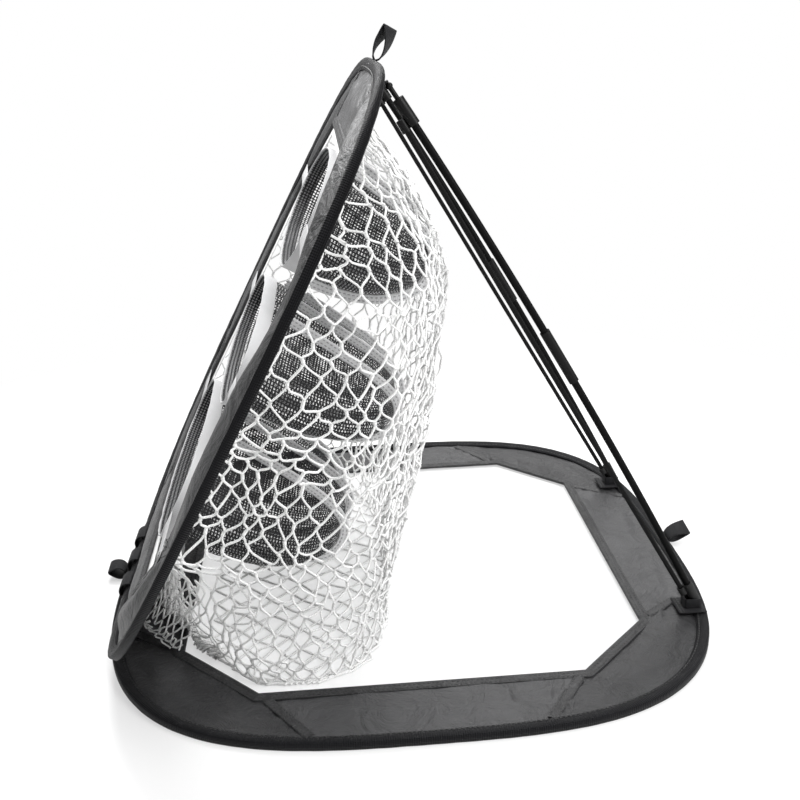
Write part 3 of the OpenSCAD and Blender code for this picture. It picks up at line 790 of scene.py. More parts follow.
STRIPS = ("strip_right", "corner_far_right", "strip_far", "corner_far_left",
          "strip_left", "corner_near_left", "strip_near", "corner_near_right")
FAR_AND_NEAR = {"base": ("rear", "front"), "target": ("top", "bottom")}


class CHIPNET_OT_border_cloth(bpy.types.Operator):
    """Makes the eight cloth pieces of each panel, taut with light wrinkles by their seams"""

    bl_idname = "chipnet.border_cloth"
    bl_label = "Border cloth"

    def execute(self, context):
        wrinkle = context.scene.chipnet_sizes.wrinkle
        for panel in PANELS:
            corners = panel.opening(CLOTH_UNDER_HEM)
            ends = [panel.seam_end(k, CLOTH_UNDER_TAPE)[0] for k in range(8)]
            for k in range(8):
                self.one(panel, k, corners, ends, wrinkle)
        return {"FINISHED"}

    def one(self, panel, k, corners, ends, wrinkle):
        a, b = corners[k], corners[(k + 1) % 8]
        wide = (b - a).length
        a0, a1 = ends[k], ends[(k + 1) % 8]
        while a1 < a0:
            a1 += TURN
        rows = 25
        cols = 61 if k % 2 else 73
        puff = PUFFS[panel.name][k]

        def flat(i, j):
            s, t = j / (cols - 1), i / (rows - 1)
            inner = a.lerp(b, s)
            outer = panel.edge(CLOTH_UNDER_TAPE, a0 + (a1 - a0) * s)
            return inner.lerp(outer, t), s, t, (outer - inner).length

        def pull(p, distance, reach, along, scale, seed, turns):
            """Short puckers that die out away from a seam, an edge or a hem."""
            return math.exp(-distance / reach) * math.sin(along + wobble(p, scale, seed) * turns)

        def height(p, s, t, deep):
            from_seam = min(s, 1 - s) * wide
            from_edge = (1 - t) * deep
            from_hem = t * deep
            z = pull(p, from_seam, 0.016, t * 22, 40, k, 5) * 0.4
            z += pull(p, from_edge, 0.014, s * wide / 0.0042, 30, 5, 6) * 0.28
            z += pull(p, from_hem, 0.012, s * wide / 0.0060, 26, 9, 6) * 0.28
            z += (wobble(p, 17, 2.0 + k) * 0.9 + wobble(p, 45, 7.0) * 0.35) * 0.5
            long_fold = wobble((s * wide, t * deep * 6.5, 0.3 * k), 15, 11)
            z += long_fold * (1.2 - from_seam / wide) * 0.9
            keep = min(1.0, from_edge / 0.006) * min(1.0, from_hem / 0.004)
            rise = clamp((from_hem - 0.010) / (deep - 0.016))
            swell = math.sin(math.pi * rise) ** 1.4 * math.sin(math.pi * s) ** 0.6
            return z * wrinkle * keep + puff * swell

        def point(i, j):
            p, s, t, deep = flat(i, j)
            return panel.at(p, height(p, s, t, deep))

        shape = Shape()
        shape.grid(rows, cols, point, lambda i, j: flat(i, j)[0].xy, flip=True)
        name = f"{panel.name}_{STRIPS[k]}"
        far, near = FAR_AND_NEAR[panel.name]
        # the corner pieces take the darker cloth: partly their own tone, partly painted shade
        cloth = "corner cloth" if k % 2 else "border cloth"
        obj = shape.piece(f"{name}_cloth", panel.name, [cloth],
                          name.replace("far", far).replace("near", near))
        points = [flat(i, j)[0] for i in range(rows) for j in range(cols)]
        along = (a - b).normalized()
        w, h = (self.spread(points, way) for way in (along, Vector((-along.y, along.x, 0))))
        shape.area()

    def spread(self, points, way):
        reach = [p.dot(way) for p in points]
        return max(reach) - min(reach)


class CHIPNET_OT_bindings(bpy.types.Operator):
    """Folds the woven edge tape round each hoop, lightly puckered, with its stitches"""

    bl_idname = "chipnet.bindings"
    bl_label = "Edge bindings"

    def execute(self, context):
        for panel in PANELS:
            self.one(panel, context.scene.chipnet_sizes.stitch_pitch)
        return {"FINISHED"}

    def one(self, panel, pitch):
        count = 420
        section = two_faced([(0.0, -0.0022), (0.0, 0.0022), (0.0004, 0.0030), (0.0012, 0.0034),
                             (0.0028, 0.0035), (0.0050, 0.0032), (0.0070, 0.0024),
                             (0.0086, 0.0019), (0.0097, 0.0017), (0.0100, 0.0012),
                             (0.0100, 0.0006)])
        angles = [TURN * i / count for i in range(count)]
        run = running([panel.edge(0.0, a) for a in angles], closed=True)

        def point(i, inset, z):
            along = run[i % count]
            p = panel.edge(inset, angles[i % count])
            pucker = wobble((along, z, inset), 95, 1.0) * 0.0005
            pucker += math.sin(along / 0.0034 + wobble(p, 20, 4) * 4) * 0.00014
            fade = 1.0 if 0.002 < inset < 0.0095 else 0.35
            lift = pucker * fade * (1 if z > 0 else -1)
            return panel.at(p, clamp(z + lift, -BINDING_T / 2, BINDING_T / 2))

        shape = Shape()
        shape.sleeve(run, section, point)
        for side in (1, -1):
            path = [panel.at(panel.edge(0.0078, a), side * 0.0024) for a in angles + [angles[0]]]
            shape.stitch_row(path, panel.up * side, pitch)
        shape.piece(f"{panel.name}_edge_tape", panel.name, ["edge tape", "thread"],
                    f"{panel.name}_binding")


class CHIPNET_OT_hems(bpy.types.Operator):
    """Folds the hem round each opening, a little puffed between its two stitch rows"""

    bl_idname = "chipnet.hems"
    bl_label = "Hems"

    def execute(self, context):
        for panel in PANELS:
            self.one(panel, context.scene.chipnet_sizes.stitch_pitch)
        return {"FINISHED"}

    def one(self, panel, pitch):
        per = 44
        count = 8 * per
        section = two_faced([(0.0002, 0.0), (0.0005, 0.0010), (0.0014, 0.0015), (0.0026, 0.0013),
                             (0.0036, 0.0010), (0.0050, 0.0014), (0.0064, 0.0011),
                             (0.0072, 0.0009), (0.0082, 0.0012), (0.0089, 0.0010),
                             (0.0090, 0.0005)])
        ring = panel.opening_ring(per, [grow for grow, z in section])
        run = running([ring(0.0050, i) for i in range(count)], closed=True)

        def point(i, grow, z):
            p = ring(grow, i)
            n = i % count
            ripple = math.sin(run[n] / 0.0048 + wobble(p, 25, 3) * 5) * 0.00018
            ripple += wobble((run[n], grow, 0), 60, 8) * 0.00035
            slant = (n // per) % 2
            gape = 0.0003 * slant * math.sin(math.pi * (n % per) / per) if grow < 0.003 else 0.0
            swell = 1 + (gape + (ripple if 0.001 < grow < 0.0088 else 0.0)) / 0.0014
            return panel.at(p, clamp(z * swell, -HEM_HALF_T, HEM_HALF_T))

        shape = Shape()
        shape.sleeve(run, section, point)
        for grow in (0.0036, 0.0072):
            for side in (1, -1):
                path = [panel.at(ring(grow, i), side * 0.0010) for i in range(count + 1)]
                shape.stitch_row(path, panel.up * side, pitch)
        # the hem takes the darker cloth as painted shade along its folds
        shape.piece(f"{panel.name}_opening_hem", panel.name, ["corner cloth", "thread"],
                    f"{panel.name}_hem")


class CHIPNET_OT_seams(bpy.types.Operator):
    """Lays the double-stitched tape over each seam, on both faces of the cloth"""

    bl_idname = "chipnet.seams"
    bl_label = "Seam tapes"

    def execute(self, context):
        for panel in PANELS:
            shape = Shape()
            for k in range(8):
                for side in (1, -1):
                    self.one(shape, panel, k, side, context.scene.chipnet_sizes.stitch_pitch)
            # the seam tapes take the darker cloth as painted shade in the seams' folds
            shape.piece(f"{panel.name}_seams", panel.name, ["corner cloth", "thread"],
                        f"{panel.name}_seam_tapes")
        return {"FINISHED"}

    def one(self, shape, panel, k, side, pitch):
        half = [(-0.0040, 0.0), (-0.0036, 0.0007), (-0.0026, 0.0005), (-0.0012, 0.0009)]
        lanes = half + [(0.0, 0.0005)] + [(-w, z) for w, z in reversed(half)]
        start, way = panel.seam(k)
        across = Vector((-way.y, way.x, 0))
        first = self.leave_hem(panel, start, way)
        length = panel.seam_end(k, 0.0108)[1] - first
        steps = 21

        def point(i, j):
            d = first + length * i / steps
            w, z = lanes[j]
            p = start + way * d + across * (w + wobble((d, w, k), 60, 6) * 0.0003)
            z = z * (1 + wobble((d, w, side), 90, 2) * 0.5) + 0.0006
            return panel.at(p, side * z)

        shape.grid(steps + 1, len(lanes), point,
                   lambda i, j: (i * length / steps, lanes[j][0]), flip=side > 0)
        for w in (-0.0026, 0.0026):
            path = [panel.at(start + way * (first + length * i / 20) + across * w, side * 0.00105)
                    for i in range(21)]
            shape.stitch_row(path, panel.up * side, pitch)

    def leave_hem(self, panel, start, way):
        """Distance along the seam at which it comes out from under the hem."""
        corners = panel.opening(HEM_W)
        edges = list(zip(corners, corners[1:] + corners[:1]))
        for i in range(200):
            p = start + way * (0.0002 * i)
            if any((b - a).cross(p - a).z < 0 for a, b in edges):
                return 0.0002 * i
        return 0.0092


# ---------------------------------------------------------------- webbing


class CHIPNET_OT_webbing(bpy.types.Operator):
    """Makes the pull tabs, the hinge straps, the foot cradles and the tip loops"""

    bl_idname = "chipnet.webbing"
    bl_label = "Webbing"

    def execute(self, context):
        self.tab("front_pull_tab", "base", "base_tab_front", 0.015, 0.0046, -12,
                 lambda s, d: Vector((0, -BASE_HALF_D - s, 0.0070 + s * 0.22 + d)))
        self.tab("rear_pull_tab", "base", "base_tab_rear", 0.021, 0.0032, 40,
                 lambda s, d: Vector((0, BASE_HALF_D + s * 0.9, 0.0066 + s * 0.42 + d)))
        self.tab("top_pull_tab", "target", "target_tab_top", 0.027, 0.0036, -48,
                 lambda s, d: on_target(Vector((0, TARGET_HALF_H + s, d))))
        self.hinge_straps()
        for side, name in ((-1, "left"), (1, "right")):
            self.cradle(side * POLE_X, name)
            self.tip_loop(side * POLE_X, name)
        return {"FINISHED"}

    def tab(self, name, body, node, length, half, twist, place):
        """A loop of webbing whose two ends are sewn into the edge tape, turned at its end."""
        steps = 15
        out = []
        for i in range(steps + 1):
            s = i / steps
            bulge = half * math.sin(math.pi * s ** 0.75) ** 0.8 if 0 < s < 1 else 0.0
            out.append((s * (length - WEB_T * 0.6), bulge + WEB_T / 2))
        path = out + [(s, -d) for s, d in reversed(out)]
        root, tip = place(0.0, 0.0), place(length, 0.0)
        way = (tip - root).normalized()
        shape = Shape()
        shape.ribbon([place(s, d) for s, d in path], X, 0.015, WEB_T * 0.92, 0.0002)
        for k, p in enumerate(shape.verts):
            share = max(0.0, (p - root).dot(way) / length)
            turn = Matrix.Rotation(math.radians(twist) * share ** 1.2, 3, way)
            shape.verts[k] = root + turn @ (p - root)
        shape.piece(name, body, ["webbing", "thread"], node)

    def arc(self, centre, r, start, end, steps):
        """Points of an arc across X, its angles in degrees."""
        turns = [math.radians(start + (end - start) * i / steps) for i in range(steps + 1)]
        return [centre + Vector((0, r * math.cos(a), r * math.sin(a))) for a in turns]

    def hinge_straps(self):
        shape = Shape()
        r = STRAP_R + WEB_T / 2
        low = 0.0041 - HINGE.z + WEB_T / 2
        tail = ((0.0005, -r - 0.0001), (0.003, -r - 0.0012), (0.0056, low + 0.0006),
                (0.0078, low), (0.012, low), (0.018, low), (0.0236, low))
        for k in (-1, 0, 1):
            at = HINGE + X * (k * 0.042)
            path = self.arc(at, r, 75, 262, 24) + [at + Vector((0, y, z)) for y, z in tail]
            shape.ribbon(path, X, 0.0216, WEB_T * 0.95, 0.00012)
            self.box_stitch(shape, at + Vector((0, 0.0158, low + WEB_T * 0.5)), 0.0085, 0.0055)
        shape.piece("hinge_webbing", "base", ["webbing", "thread"], "hinge_straps")

    def box_stitch(self, shape, centre, half_w, half_h):
        c = [centre + X * x * half_w + Y * y * half_h
             for x, y in ((-1, -1), (1, -1), (1, 1), (-1, 1))]
        for path in (c + [c[0]], [c[0], c[2]], [c[1], c[3]]):
            shape.stitch_row(path, Z, 0.0028)

    def cradle(self, x, name):
        """Webbing patch on the binding with a low wall round the pole's foot."""
        shape = Shape()
        top = BINDING_T + WEB_T / 2
        patch = [Vector((x, POLE_FOOT.y - 0.0168 + i * 0.0227 / 8, top)) for i in range(9)]
        shape.ribbon(patch, X, 0.0236, WEB_T * 0.95, 0.0001)
        inner = 0.0049 + WEB_T / 2
        front = POLE_FOOT.y - 0.0095 - WEB_T / 2
        bend = 0.0012
        wall = [(inner, POLE_FOOT.y + 0.0028 - i * 0.0019) for i in range(6)]
        for i in range(7):
            a = math.radians(90 * i / 6)
            wall.append((inner - bend * (1 - math.cos(a)), front + bend * (1 - math.sin(a))))
        across = [((inner - bend) * (1 - i / 3), front) for i in range(1, 6)]
        path = wall + across + [(-u, y) for u, y in reversed(wall)]
        lift = BINDING_T + 0.0095 / 2 + 0.0006
        shape.ribbon([Vector((x + u, y, lift)) for u, y in path], Z, 0.0082, WEB_T * 0.9)
        for y in (-0.0150, -0.0125):
            row = [Vector((x + u, POLE_FOOT.y + y, top + WEB_T / 2)) for u in (-0.010, 0.010)]
            shape.stitch_row(row, Z, 0.0028)
        shape.piece(f"foot_cradle_{name}", "base", ["webbing", "thread"],
                    f"base_pole_sleeve_{name}")

    def tip_loop(self, x, name):
        """Half loop of webbing on the back of the edge tape that the tip turns in."""
        shape = Shape()
        centre = Vector((x, LOOP_UP - TARGET_HALF_H, -0.0073))
        path = [on_target(p) for p in self.arc(centre, 0.0033, 40, 193, 14)]
        shape.ribbon(path, X, 0.0088, 0.00092)
        shape.piece(f"tip_loop_{name}", "target", ["webbing"],
                    f"target_pole_loop_{name}")


# ---------------------------------------------------------------- pockets


def pocket_point(pocket, angle, s, inset=0.0, deeper=0.0):
    """Point of a pocket's bag: s runs from the mouth, 0, to the end, 1."""
    a, b, v, depth = pocket
    k = max(0.0, 1 - s ** POCKET_ROUND) ** (1 / POCKET_ROUND)
    x, y = oval((a - inset) * k, (b - inset) * k, angle)
    deep = max(0.0, s - MOUTH) / (1 - MOUTH)
    sag = POCKET_SAG * math.sin(math.radians(162 * deep))
    if y < 0:
        y *= 1 - POCKET_RISE * deep
    return Vector((x, v + y - sag - TARGET_HALF_H, RIM_FRONT - 0.001 - (depth + deeper) * s))


def flatten(obj):
    """Gives a piece its own copy of its mesh."""
    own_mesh(obj)


class CHIPNET_OT_pocket_rims(bpy.types.Operator):
    """Binds each pocket's mouth with a soft grey band and ties it to the hem"""

    bl_idname = "chipnet.pocket_rims"
    bl_label = "Pocket rims"

    def execute(self, context):
        for name, pocket in POCKETS.items():
            self.band(name, *pocket[:3])
        self.ties()
        return {"FINISHED"}

    def band(self, name, a, b, v):
        shape = Shape()
        count = 150

        def ring(inset, i):
            return oval(a - inset, b - inset, TURN * i / count)

        run = running([ring(RIM_T / 2, i) for i in range(count)], closed=True)

        def point(i, out, deep):
            i %= count
            x, y = ring(RIM_T / 2 - out * 0.9, i)
            ripple = wobble((run[i], deep * 2, 0), 70, v * 9) * 0.0006
            return up_target(x, v + y, RIM_FRONT - RIM_W / 2 + deep * 0.96 + ripple)

        shape.sleeve(run, soft_box(RIM_T, RIM_W, 0.0007, 3), point)
        for deep in (0.0024, 0.0092):
            path = []
            for i in range(count + 1):
                x, y = ring(RIM_T + 0.00003, i)
                path.append(up_target(x, v + y, RIM_FRONT - deep))
            centre = up_target(0, v, RIM_FRONT - deep)
            for p, q in zip(path[::2], path[2::2]):
                shape.stitch_row([p, q], (centre - p).normalized())
        shape.piece(f"{name}_pocket_band", "target", ["grey tape", "thread"],
                    f"pocket_rim_{name}")

    def ties(self):
        shape = Shape()
        reach = PANEL_HALF_W - BORDER + HEM_W - 0.001
        across = on_target(Y) - on_target(Vector((0, 0, 0)))
        for pocket in POCKETS.values():
            a, v = pocket[0], pocket[2]
            for side in (-1, 1):
                path = [up_target(side * (a - 0.0004 + (reach - a) * i / 10), v,
                                  0.0020 - 0.00012 * math.sin(math.pi * i / 10))
                        for i in range(11)]
                shape.ribbon(path, across * side, 0.0116, 0.0008, 0.0002)
                for d in (0.003, 0.006):
                    row = [up_target(side * (reach - d), v + y, 0.0024) for y in (-0.005, 0.005)]
                    shape.stitch_row(row, TARGET.up, 0.0024)
        shape.piece("pocket_ties", "target", ["grey tape", "thread"],
                    "pocket_side_ties")


class CHIPNET_OT_pocket_bags(bpy.types.Operator):
    """Hangs each pocket's bag of fine black mesh from its rim, with the tapes on its seams"""

    bl_idname = "chipnet.pocket_bags"
    bl_label = "Pocket bags"

    def execute(self, context):
        for name, pocket in POCKETS.items():
            self.bag(name, pocket)
            self.tape(name, pocket)
        return {"FINISHED"}

    def bag(self, name, pocket):
        """Two mesh halves that meet under the middle tape."""
        a, b, v = pocket[:3]
        rows, cols = 42, 57
        mid = (cols - 1) // 2
        steps = [math.sin(math.pi / 2 * (i / (rows - 1)) ** 0.9) * 0.999999 for i in range(rows)]

        def flat(side, s, j):
            angle = math.pi * (side + j / (cols - 1)) - math.pi / 2
            p = pocket_point(pocket, angle, s, RIM_T + 0.0006)
            fade = min(1.0, s / 0.12) * min(1.0, (1 - s) / 0.05)
            ripple = (wobble(p, 28, v * 20) * 0.7 + wobble(p, 70, 4) * 0.35) * 0.0016 * fade
            out = p - Vector((0, v - TARGET_HALF_H, p.z))
            out = out.normalized() if out.length > 1e-6 else -Z
            return p - out * abs(ripple)

        shape = Shape()
        for side in (0, 1):
            points = [[flat(side, s, j) for j in range(cols)] for s in steps]
            across = [running(row) for row in points]
            down = [running(column) for column in zip(*points)]
            shape.grid(rows, cols, lambda i, j: on_target(points[i][j]),
                       lambda i, j: (across[i][j] - across[i][mid], down[j][i]))
        obj = shape.piece(f"{name}_pocket_bag", "target", ["pocket mesh"],
                          f"pocket_mesh_{name}")
        size = shape.area()
        flatten(obj)

    def tape(self, name, pocket):
        """Folded tape that stands on the bag's seams: in its middle and round each side."""
        half = pocket[0] - RIM_T
        shape = Shape()
        for seam_x, sides in ((0.0, (1,)), (0.42 * half, (1, -1))):
            line = self.seam_line(half, seam_x)
            line += [(-angle, s) for angle, s in reversed(line[:-1])]
            for side in sides:
                self.fin(shape, pocket, line, side)
        obj = shape.piece(f"{name}_pocket_seam", "target", ["seam tape", "grey tape"],
                          f"pocket_tape_{name}")
        flatten(obj)

    def seam_line(self, half, seam_x, steps=56):
        """Angle and s of a seam's upper half, which keeps its distance from the middle."""
        last = (1 - (seam_x / half) ** POCKET_ROUND) ** (1 / POCKET_ROUND) * 0.9995
        line = []
        for i in range(steps + 1):
            s = MOUTH + (last - MOUTH) * math.sin(math.pi / 2 * i / steps)
            k = (1 - s ** POCKET_ROUND) ** (1 / POCKET_ROUND)
            line.append((math.acos(min(0.9999, (seam_x / (half * k)) ** 1.15)), s))
        return line

    def fin(self, shape, pocket, line, side):
        """One folded tape that stands on a line round the bag, with its two rows of stitches."""
        v, depth = pocket[2:]
        inner = []
        for angle, s in line:
            p = pocket_point(pocket, angle, s, RIM_T - 0.0002, 0.0003)
            inner.append(Vector((side * p.x, p.y, p.z)))
        outer = []
        for i, p in enumerate(inner):
            way = heading(inner, i)
            out = Vector((0, -way.z, way.y)).normalized()
            if out.dot(p - Vector((p.x, v - TARGET_HALF_H, -depth * 0.3))) < 0:
                out = -out
            outer.append(p + out * FIN_TALL)
        lanes = [(0.0, 0.0), (0.0009, 0.0), (0.0011, 0.2), (0.0008, 0.32), (0.0011, 0.5),
                 (0.0008, 0.72), (0.0011, 0.85), (0.0007, 0.97), (0.0, 1.0)]
        lanes += [(-x, t) for x, t in reversed(lanes[1:-1])]
        run = running(inner)

        def point(i, j):
            x, t = lanes[j]
            p = inner[i].lerp(outer[i], t)
            sway = wobble((run[i], t * 0.01, side * 0.3), 55, v * 7) * 0.0008 * t
            return on_target(p + X * (x + sway))

        shape.grid(len(inner), len(lanes), point,
                   lambda i, j: (run[i], lanes[j % len(lanes)][1] * 0.009), loop=True)
        for way in (1, -1):
            for t in (0.32, 0.72):
                path = [on_target(low.lerp(high, t) + X * (way * 0.00085))
                        for low, high in zip(inner, outer)]
                shape.stitch_row(path, X * way)


# ---------------------------------------------------------------- catch net


def net_level(z):
    """Front, rear and half width of the net at a height."""
    for lo, hi in zip(NET_LEVELS, NET_LEVELS[1:]):
        if z <= hi[0]:
            t = max(0.0, (z - lo[0]) / (hi[0] - lo[0]))
            return [lo[k] + (hi[k] - lo[k]) * t for k in (1, 2, 3)]
    return list(NET_LEVELS[-1][1:])


def even_angles(count, a=0.186, b=0.104, parts=2400):
    """Angles that step evenly along the net's rounded outline."""
    run = running([oval(a, b, TURN * i / parts, NET_SQUARENESS) for i in range(parts + 1)])
    out, k = [], 0
    for j in range(count):
        want = run[-1] * j / count
        while run[k + 1] < want:
            k += 1
        out.append(TURN * (k + (want - run[k]) / (run[k + 1] - run[k])) / parts)
    return out


def net_form(angle, z, inset=0.0015):
    """Point on the net: its foot runs forward over the base, narrower there."""
    front, rear, half = net_level(z)
    front = min(front, -0.206)
    x, y = oval(half - inset, (rear - front) / 2 - inset, angle, NET_SQUARENESS)
    y += (front + rear) / 2
    t = clamp((-0.110 - y) / 0.085)
    x *= 1 - 0.36 * (3 * t * t - 2 * t ** 3) * max(0.0, 1 - z / 0.12)
    return Vector((x, y, z))


def over_base(p):
    """Height that keeps the net's cords above the base's cloth."""
    past = max(-p.y - 0.176, (abs(p.x) - p.y - 0.300) * 0.7, abs(p.x) - 0.184)
    return ON_GROUND + OVER_CLOTH * clamp(past / 0.006 + 0.5)


def behind_start(p):
    """Distance of a point behind the place where the net begins."""
    return (p - HINGE).dot(BACKWARD) - NET_START


class CHIPNET_OT_catch_net(bpy.types.Operator):
    """Knots the white catch net round the pockets, from the opening to the ground"""

    bl_idname = "chipnet.catch_net"
    bl_label = "Catch net"

    def execute(self, context):
        sizes = context.scene.chipnet_sizes
        shape = Shape()
        self.walls(shape, sizes)
        self.gathers(shape, sizes.net_cord * 0.9)
        self.loose_cells(shape, sizes.net_cord * 0.8)
        self.floor_net(shape, sizes)
        obj = shape.piece("knotted_net", "target", ["net cord"], "catch_net")
        flatten(obj)
        self.border()
        return {"FINISHED"}

    def straight(self, shape, p, q, radius):
        """One short cord with a slight bend."""
        bend = Vector((wobble(p, 130, 1), wobble(p, 130, 4), 0)) * 0.0012
        shape.tube([p, (p + q) / 2 + bend, q], radius, 4)

    def slack(self, shape, p, q, radius, rise):
        """One slack side of a cell, which leaves and meets its knots along their rise."""
        sag = Z * (-0.0013 * (1 + 1.6 * wobble(p, 37, 12)))
        a, b = p + rise + sag, q - rise + sag
        path = []
        for t in (0.0, 0.28, 0.5, 0.72, 1.0):
            u = 1 - t
            r = p * u ** 3 + a * 3 * u * u * t + b * 3 * u * t * t + q * t ** 3
            r.z = max(r.z, over_base(r))
            path.append(r)
        shape.tube(path, radius, 4)

    def walls(self, shape, sizes):
        """The standing part: rounded cells whose sides run together at each knot."""
        cord = sizes.net_cord
        rows = int(NET_TOP / (sizes.net_cell * 0.70)) + 1
        cols = int(NET_ROUND / (sizes.net_cell * 0.43)) // 2 * 2
        angles = even_angles(cols) + [TURN]

        def drift(p, scale, seeds):
            return Vector([wobble(p, scale, seed) for seed in seeds]) * sizes.net_slack

        def point(i, j):
            z = 0.0022 + (NET_TOP - 0.0022) * i / (rows - 1)
            p = net_form(angles[j], z)
            ends = clamp(min(i, rows - 1 - i) / 3.0)
            u = (j + wobble(p, 12, 21) * 2.4 + wobble(p, 31, 22) * 1.1) % cols
            k = min(int(u), cols - 1)
            angle = angles[k] + (angles[k + 1] - angles[k]) * (u - k)
            z += (wobble(p, 12, 23) * 0.017 + wobble(p, 30, 24) * 0.008) * ends
            p = net_form(angle, z)
            front, rear = net_level(z)[:2]
            at_rear = max(0.0, math.sin(angle)) * min(1.0, z / 0.12)
            jig = drift(p, 48, (1, 2, 3)) * 1.7 + drift(p, 150, (6, 7, 8)) * 0.9
            inward = Vector((-p.x, (front + rear) / 2 - p.y, 0)).normalized()
            fold = 0.5 + 0.5 * math.sin(angle * 31 + 2.5 * math.sin(z * 19) + wobble(p, 12, 3) * 4)
            drape = (0.0016 + 0.0048 * fold) * min(1.0, z / 0.05) + 0.0045 * at_rear
            out = p + inward * drape + Vector((jig.x * 0.6, jig.y * 0.6, jig.z * ends))
            out.z = max(over_base(out), out.z)
            return out

        for i in range(rows):
            for j in range(i % 2, cols, 2):
                low, high = point(i - KNOT_SHARE, j), point(i + KNOT_SHARE, j)
                if behind_start(low) > 0.001 and behind_start(high) > 0:
                    shape.tube([low, high], cord * 1.45, 5)
                if i == rows - 1:
                    continue
                for k in (j + 1, j - 1):
                    self.side(shape, high, point(i + 1 - KNOT_SHARE, k % cols), cord,
                              (high - low) * 0.95)
        for ring in (0, rows - 1):
            path = [point(ring, j) for j in range(cols)]
            for p, q in zip(path, path[1:] + path[:1]):
                if behind_start(p) > 0 and behind_start(q) > 0:
                    self.straight(shape, p, q, cord * 1.4)

    def side(self, shape, p, q, cord, rise):
        """One side of a cell, cut off where the net begins."""
        dp, dq = behind_start(p), behind_start(q)
        if dp >= 0 and dq >= 0:
            self.slack(shape, p, q, cord, rise)
        elif dp >= 0 or dq >= 0:
            mid = p.lerp(q, dp / (dp - dq))
            p, q = (mid, q) if dp < 0 else (p, mid)
            if (q - p).length > 0.0015:
                self.straight(shape, p, q, cord)

    def gathers(self, shape, radius):
        """Loose cords bunched along the foot of the net's front."""
        line = []
        for i in range(161):
            p = net_form(math.radians(196 + 148 * i / 160), 0.002)
            p.z = over_base(p) + 0.0042
            line.append(p)
        for strand in range(16):
            path = []
            for i, p in enumerate(line):
                side = heading(line, i).cross(Z)
                turn = i * (0.21 + 0.03 * strand) + strand * 0.9
                spread = 0.0046 + 0.0052 * wobble((i * 0.006, strand * 0.1, 0), 30, strand)
                q = p + side * spread * math.cos(turn)
                q.z = max(q.z + spread * 0.9 * math.sin(turn), over_base(q))
                path.append(q)
            shape.tube(path, radius, 4)

    def loose_cells(self, shape, radius):
        """Rows of small cells that spread from the net's foot over the base's front cloth."""
        rows = 9
        front = math.radians(200), math.radians(340)
        angles = [angle for angle in even_angles(520) if front[0] < angle < front[1]]
        for row in range(rows):
            part = row / (rows - 1)
            runs = [[]]
            for i, angle in enumerate(angles):
                wave = math.cos(math.pi * (i / 2.5 + row))
                level = part + 0.075 * wave + 0.10 * wobble((angle, part, 0), 6, 31)
                p = net_form(angle, 0.004 + 0.078 * max(0.0, level) ** 1.3)
                p.y -= 0.032 * (1 - clamp(level)) ** 1.5
                p.x += 0.0030 * wobble((angle, part, 0), 22, 33)
                p.z = max(p.z, over_base(p))
                if behind_start(p) > 0 and over_base(p) > 0.005:
                    runs[-1].append(p)
                else:
                    runs.append([])
            for path in runs:
                if len(path) > 2:
                    shape.tube(path, radius, 4)

    def floor_net(self, shape, sizes):
        """The part of the net that lies on the ground."""
        step = sizes.net_cell * 0.72
        cord = sizes.net_cord
        front, rear, half = net_level(0.001)
        yc = (front + rear) / 2
        cols = int(2 * half / step) // 2 * 2 + 1
        rows = int((rear - front) / step) // 2 * 2 + 1

        def point(i, j):
            x = -half + 2 * half * j / (cols - 1)
            y = front + (rear - front) * i / (rows - 1)
            nx = min(0.999, abs(x) / half)
            reach = (1 - nx ** NET_SQUARENESS) ** (1 / NET_SQUARENESS)
            p = Vector((x, yc + (y - yc) * reach, 0.0016))
            p += (Vector((wobble(p, 40, 11), wobble(p, 40, 12), 0))
                  * sizes.net_slack * 2.0 * (1 - nx ** 8))
            p.z = 0.0014 + 0.0016 * abs(wobble(p, 60, 14))
            return p

        knots = {(i, j): point(i, j) for i in range(rows) for j in range(cols) if (i + j) % 2 == 0}
        for (i, j), p in knots.items():
            for dj in (1, -1):
                q = knots.get((i + 1, j + dj))
                if q is not None:
                    self.straight(shape, p, q, cord)
            shape.bead(p + Z * (cord * 0.2), cord * 1.4)

    def border(self):
        """Narrow white tape and gathered cords where the net is sewn behind the hem."""
        count = 240
        lanes = [(-0.0088, -0.0030), (-0.0080, -0.0021), (-0.004, -0.0019), (0.004, -0.0019),
                 (0.0120, -0.0019), (0.0195, -0.0021), (0.0205, -0.0026), (0.0195, -0.0036),
                 (0.0100, -0.0039), (0.002, -0.0038), (-0.0060, -0.0038), (-0.0084, -0.0036)]
        ring = TARGET.opening_ring(count // 8, [grow for grow, z in lanes])
        run = running([ring(0.004, i) for i in range(count)], closed=True)

        def point(i, grow, z):
            p = ring(grow, i)
            along = run[i % count]
            if grow < -0.007:
                p += p.normalized() * (0.0012 * (1 + math.sin(along / 0.0024)) * 0.5)
            return TARGET.at(p, z - abs(wobble((along, grow, 0), 120, 3) * 0.0003))

        shape = Shape()
        shape.sleeve(run, lanes, point)
        shape.piece("net_edge", "target", ["net cord"], "catch_net_border")


# ---------------------------------------------------------------- poles and hoops


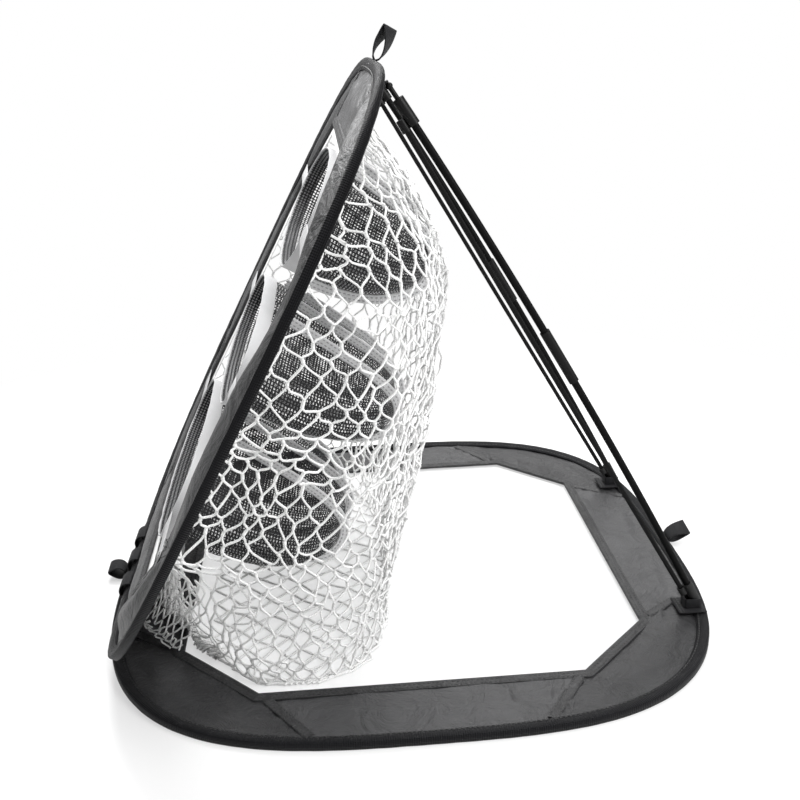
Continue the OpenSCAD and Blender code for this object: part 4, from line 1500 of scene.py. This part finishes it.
class CHIPNET_OT_poles(bpy.types.Operator):
    """Gives the poles and hoops their finishes and braids the tension cords"""

    bl_idname = "chipnet.poles"
    bl_label = "Poles and hoops"

    def execute(self, context):
        finishes = {"upper_rod": "glass-fibre rod", "lower_rod": "glass-fibre rod",
                    "ferrule": "ferrule metal", "top_fitting": "moulded fitting",
                    "foot": "rubber foot"}
        for side, name in ((-1, "left"), (1, "right")):
            for part, finish in finishes.items():
                dress(f"pole_{name}_{part}", finish)
            self.tension_cord(side, name)
        for panel in PANELS:
            dress(f"{panel.name}_hoop", "spring steel")
            dress(f"{panel.name}_hoop_joint", "spring steel")
        return {"FINISHED"}

    def tension_cord(self, side, name):
        top = POLE_TOP + X * (side * POLE_X)
        way = (POLE_FOOT - POLE_TOP).normalized()
        inner = Vector((0, way.z, -way.y))
        if inner.z > 0:
            inner = -inner
        first, last = CORD_ENDS
        path = [top + way * (first + (last - first) * i / 60) + inner * CORD_OFFSET
                for i in range(61)]
        shape = Shape()
        shape.tube(path, lambda t: 0.00192 + 0.00005 * math.sin(t * 260), 12, caps=True)
        shape.piece(f"tension_cord_{name}", f"pole_{name}", ["braided cord"],
                    f"pole_{name}_tension_cord")


# ---------------------------------------------------------------- panel and running


class CHIPNET_PT_tools(bpy.types.Panel):
    """Lists the makers of the net's pieces"""

    bl_label = "Chipping Net"
    bl_idname = "CHIPNET_PT_tools"
    bl_space_type = "VIEW_3D"
    bl_region_type = "UI"
    bl_category = "Chipping Net"

    def draw(self, context):
        layout = self.layout
        for group in (context.scene.chipnet_colours, context.scene.chipnet_sizes):
            for name in group.__annotations__:
                layout.prop(group, name)
        for maker in PIECE_MAKERS:
            layout.operator(maker.bl_idname)


PIECE_MAKERS = (
    CHIPNET_OT_stage,
    CHIPNET_OT_border_cloth,
    CHIPNET_OT_bindings,
    CHIPNET_OT_hems,
    CHIPNET_OT_seams,
    CHIPNET_OT_webbing,
    CHIPNET_OT_pocket_rims,
    CHIPNET_OT_pocket_bags,
    CHIPNET_OT_catch_net,
    CHIPNET_OT_poles,
)
CLASSES = (ChipnetColours, ChipnetSizes) + PIECE_MAKERS + (CHIPNET_PT_tools,)


def register():
    for cls in CLASSES:
        bpy.utils.register_class(cls)
    bpy.types.Scene.chipnet_colours = bpy.props.PointerProperty(type=ChipnetColours)
    bpy.types.Scene.chipnet_sizes = bpy.props.PointerProperty(type=ChipnetSizes)


def unregister():
    del bpy.types.Scene.chipnet_sizes
    del bpy.types.Scene.chipnet_colours
    for cls in reversed(CLASSES):
        bpy.utils.unregister_class(cls)


def main():
    register()
    for maker in PIECE_MAKERS:
        group, name = maker.bl_idname.split(".")
        getattr(getattr(bpy.ops, group), name)()


if __name__ == "__main__":
    main()
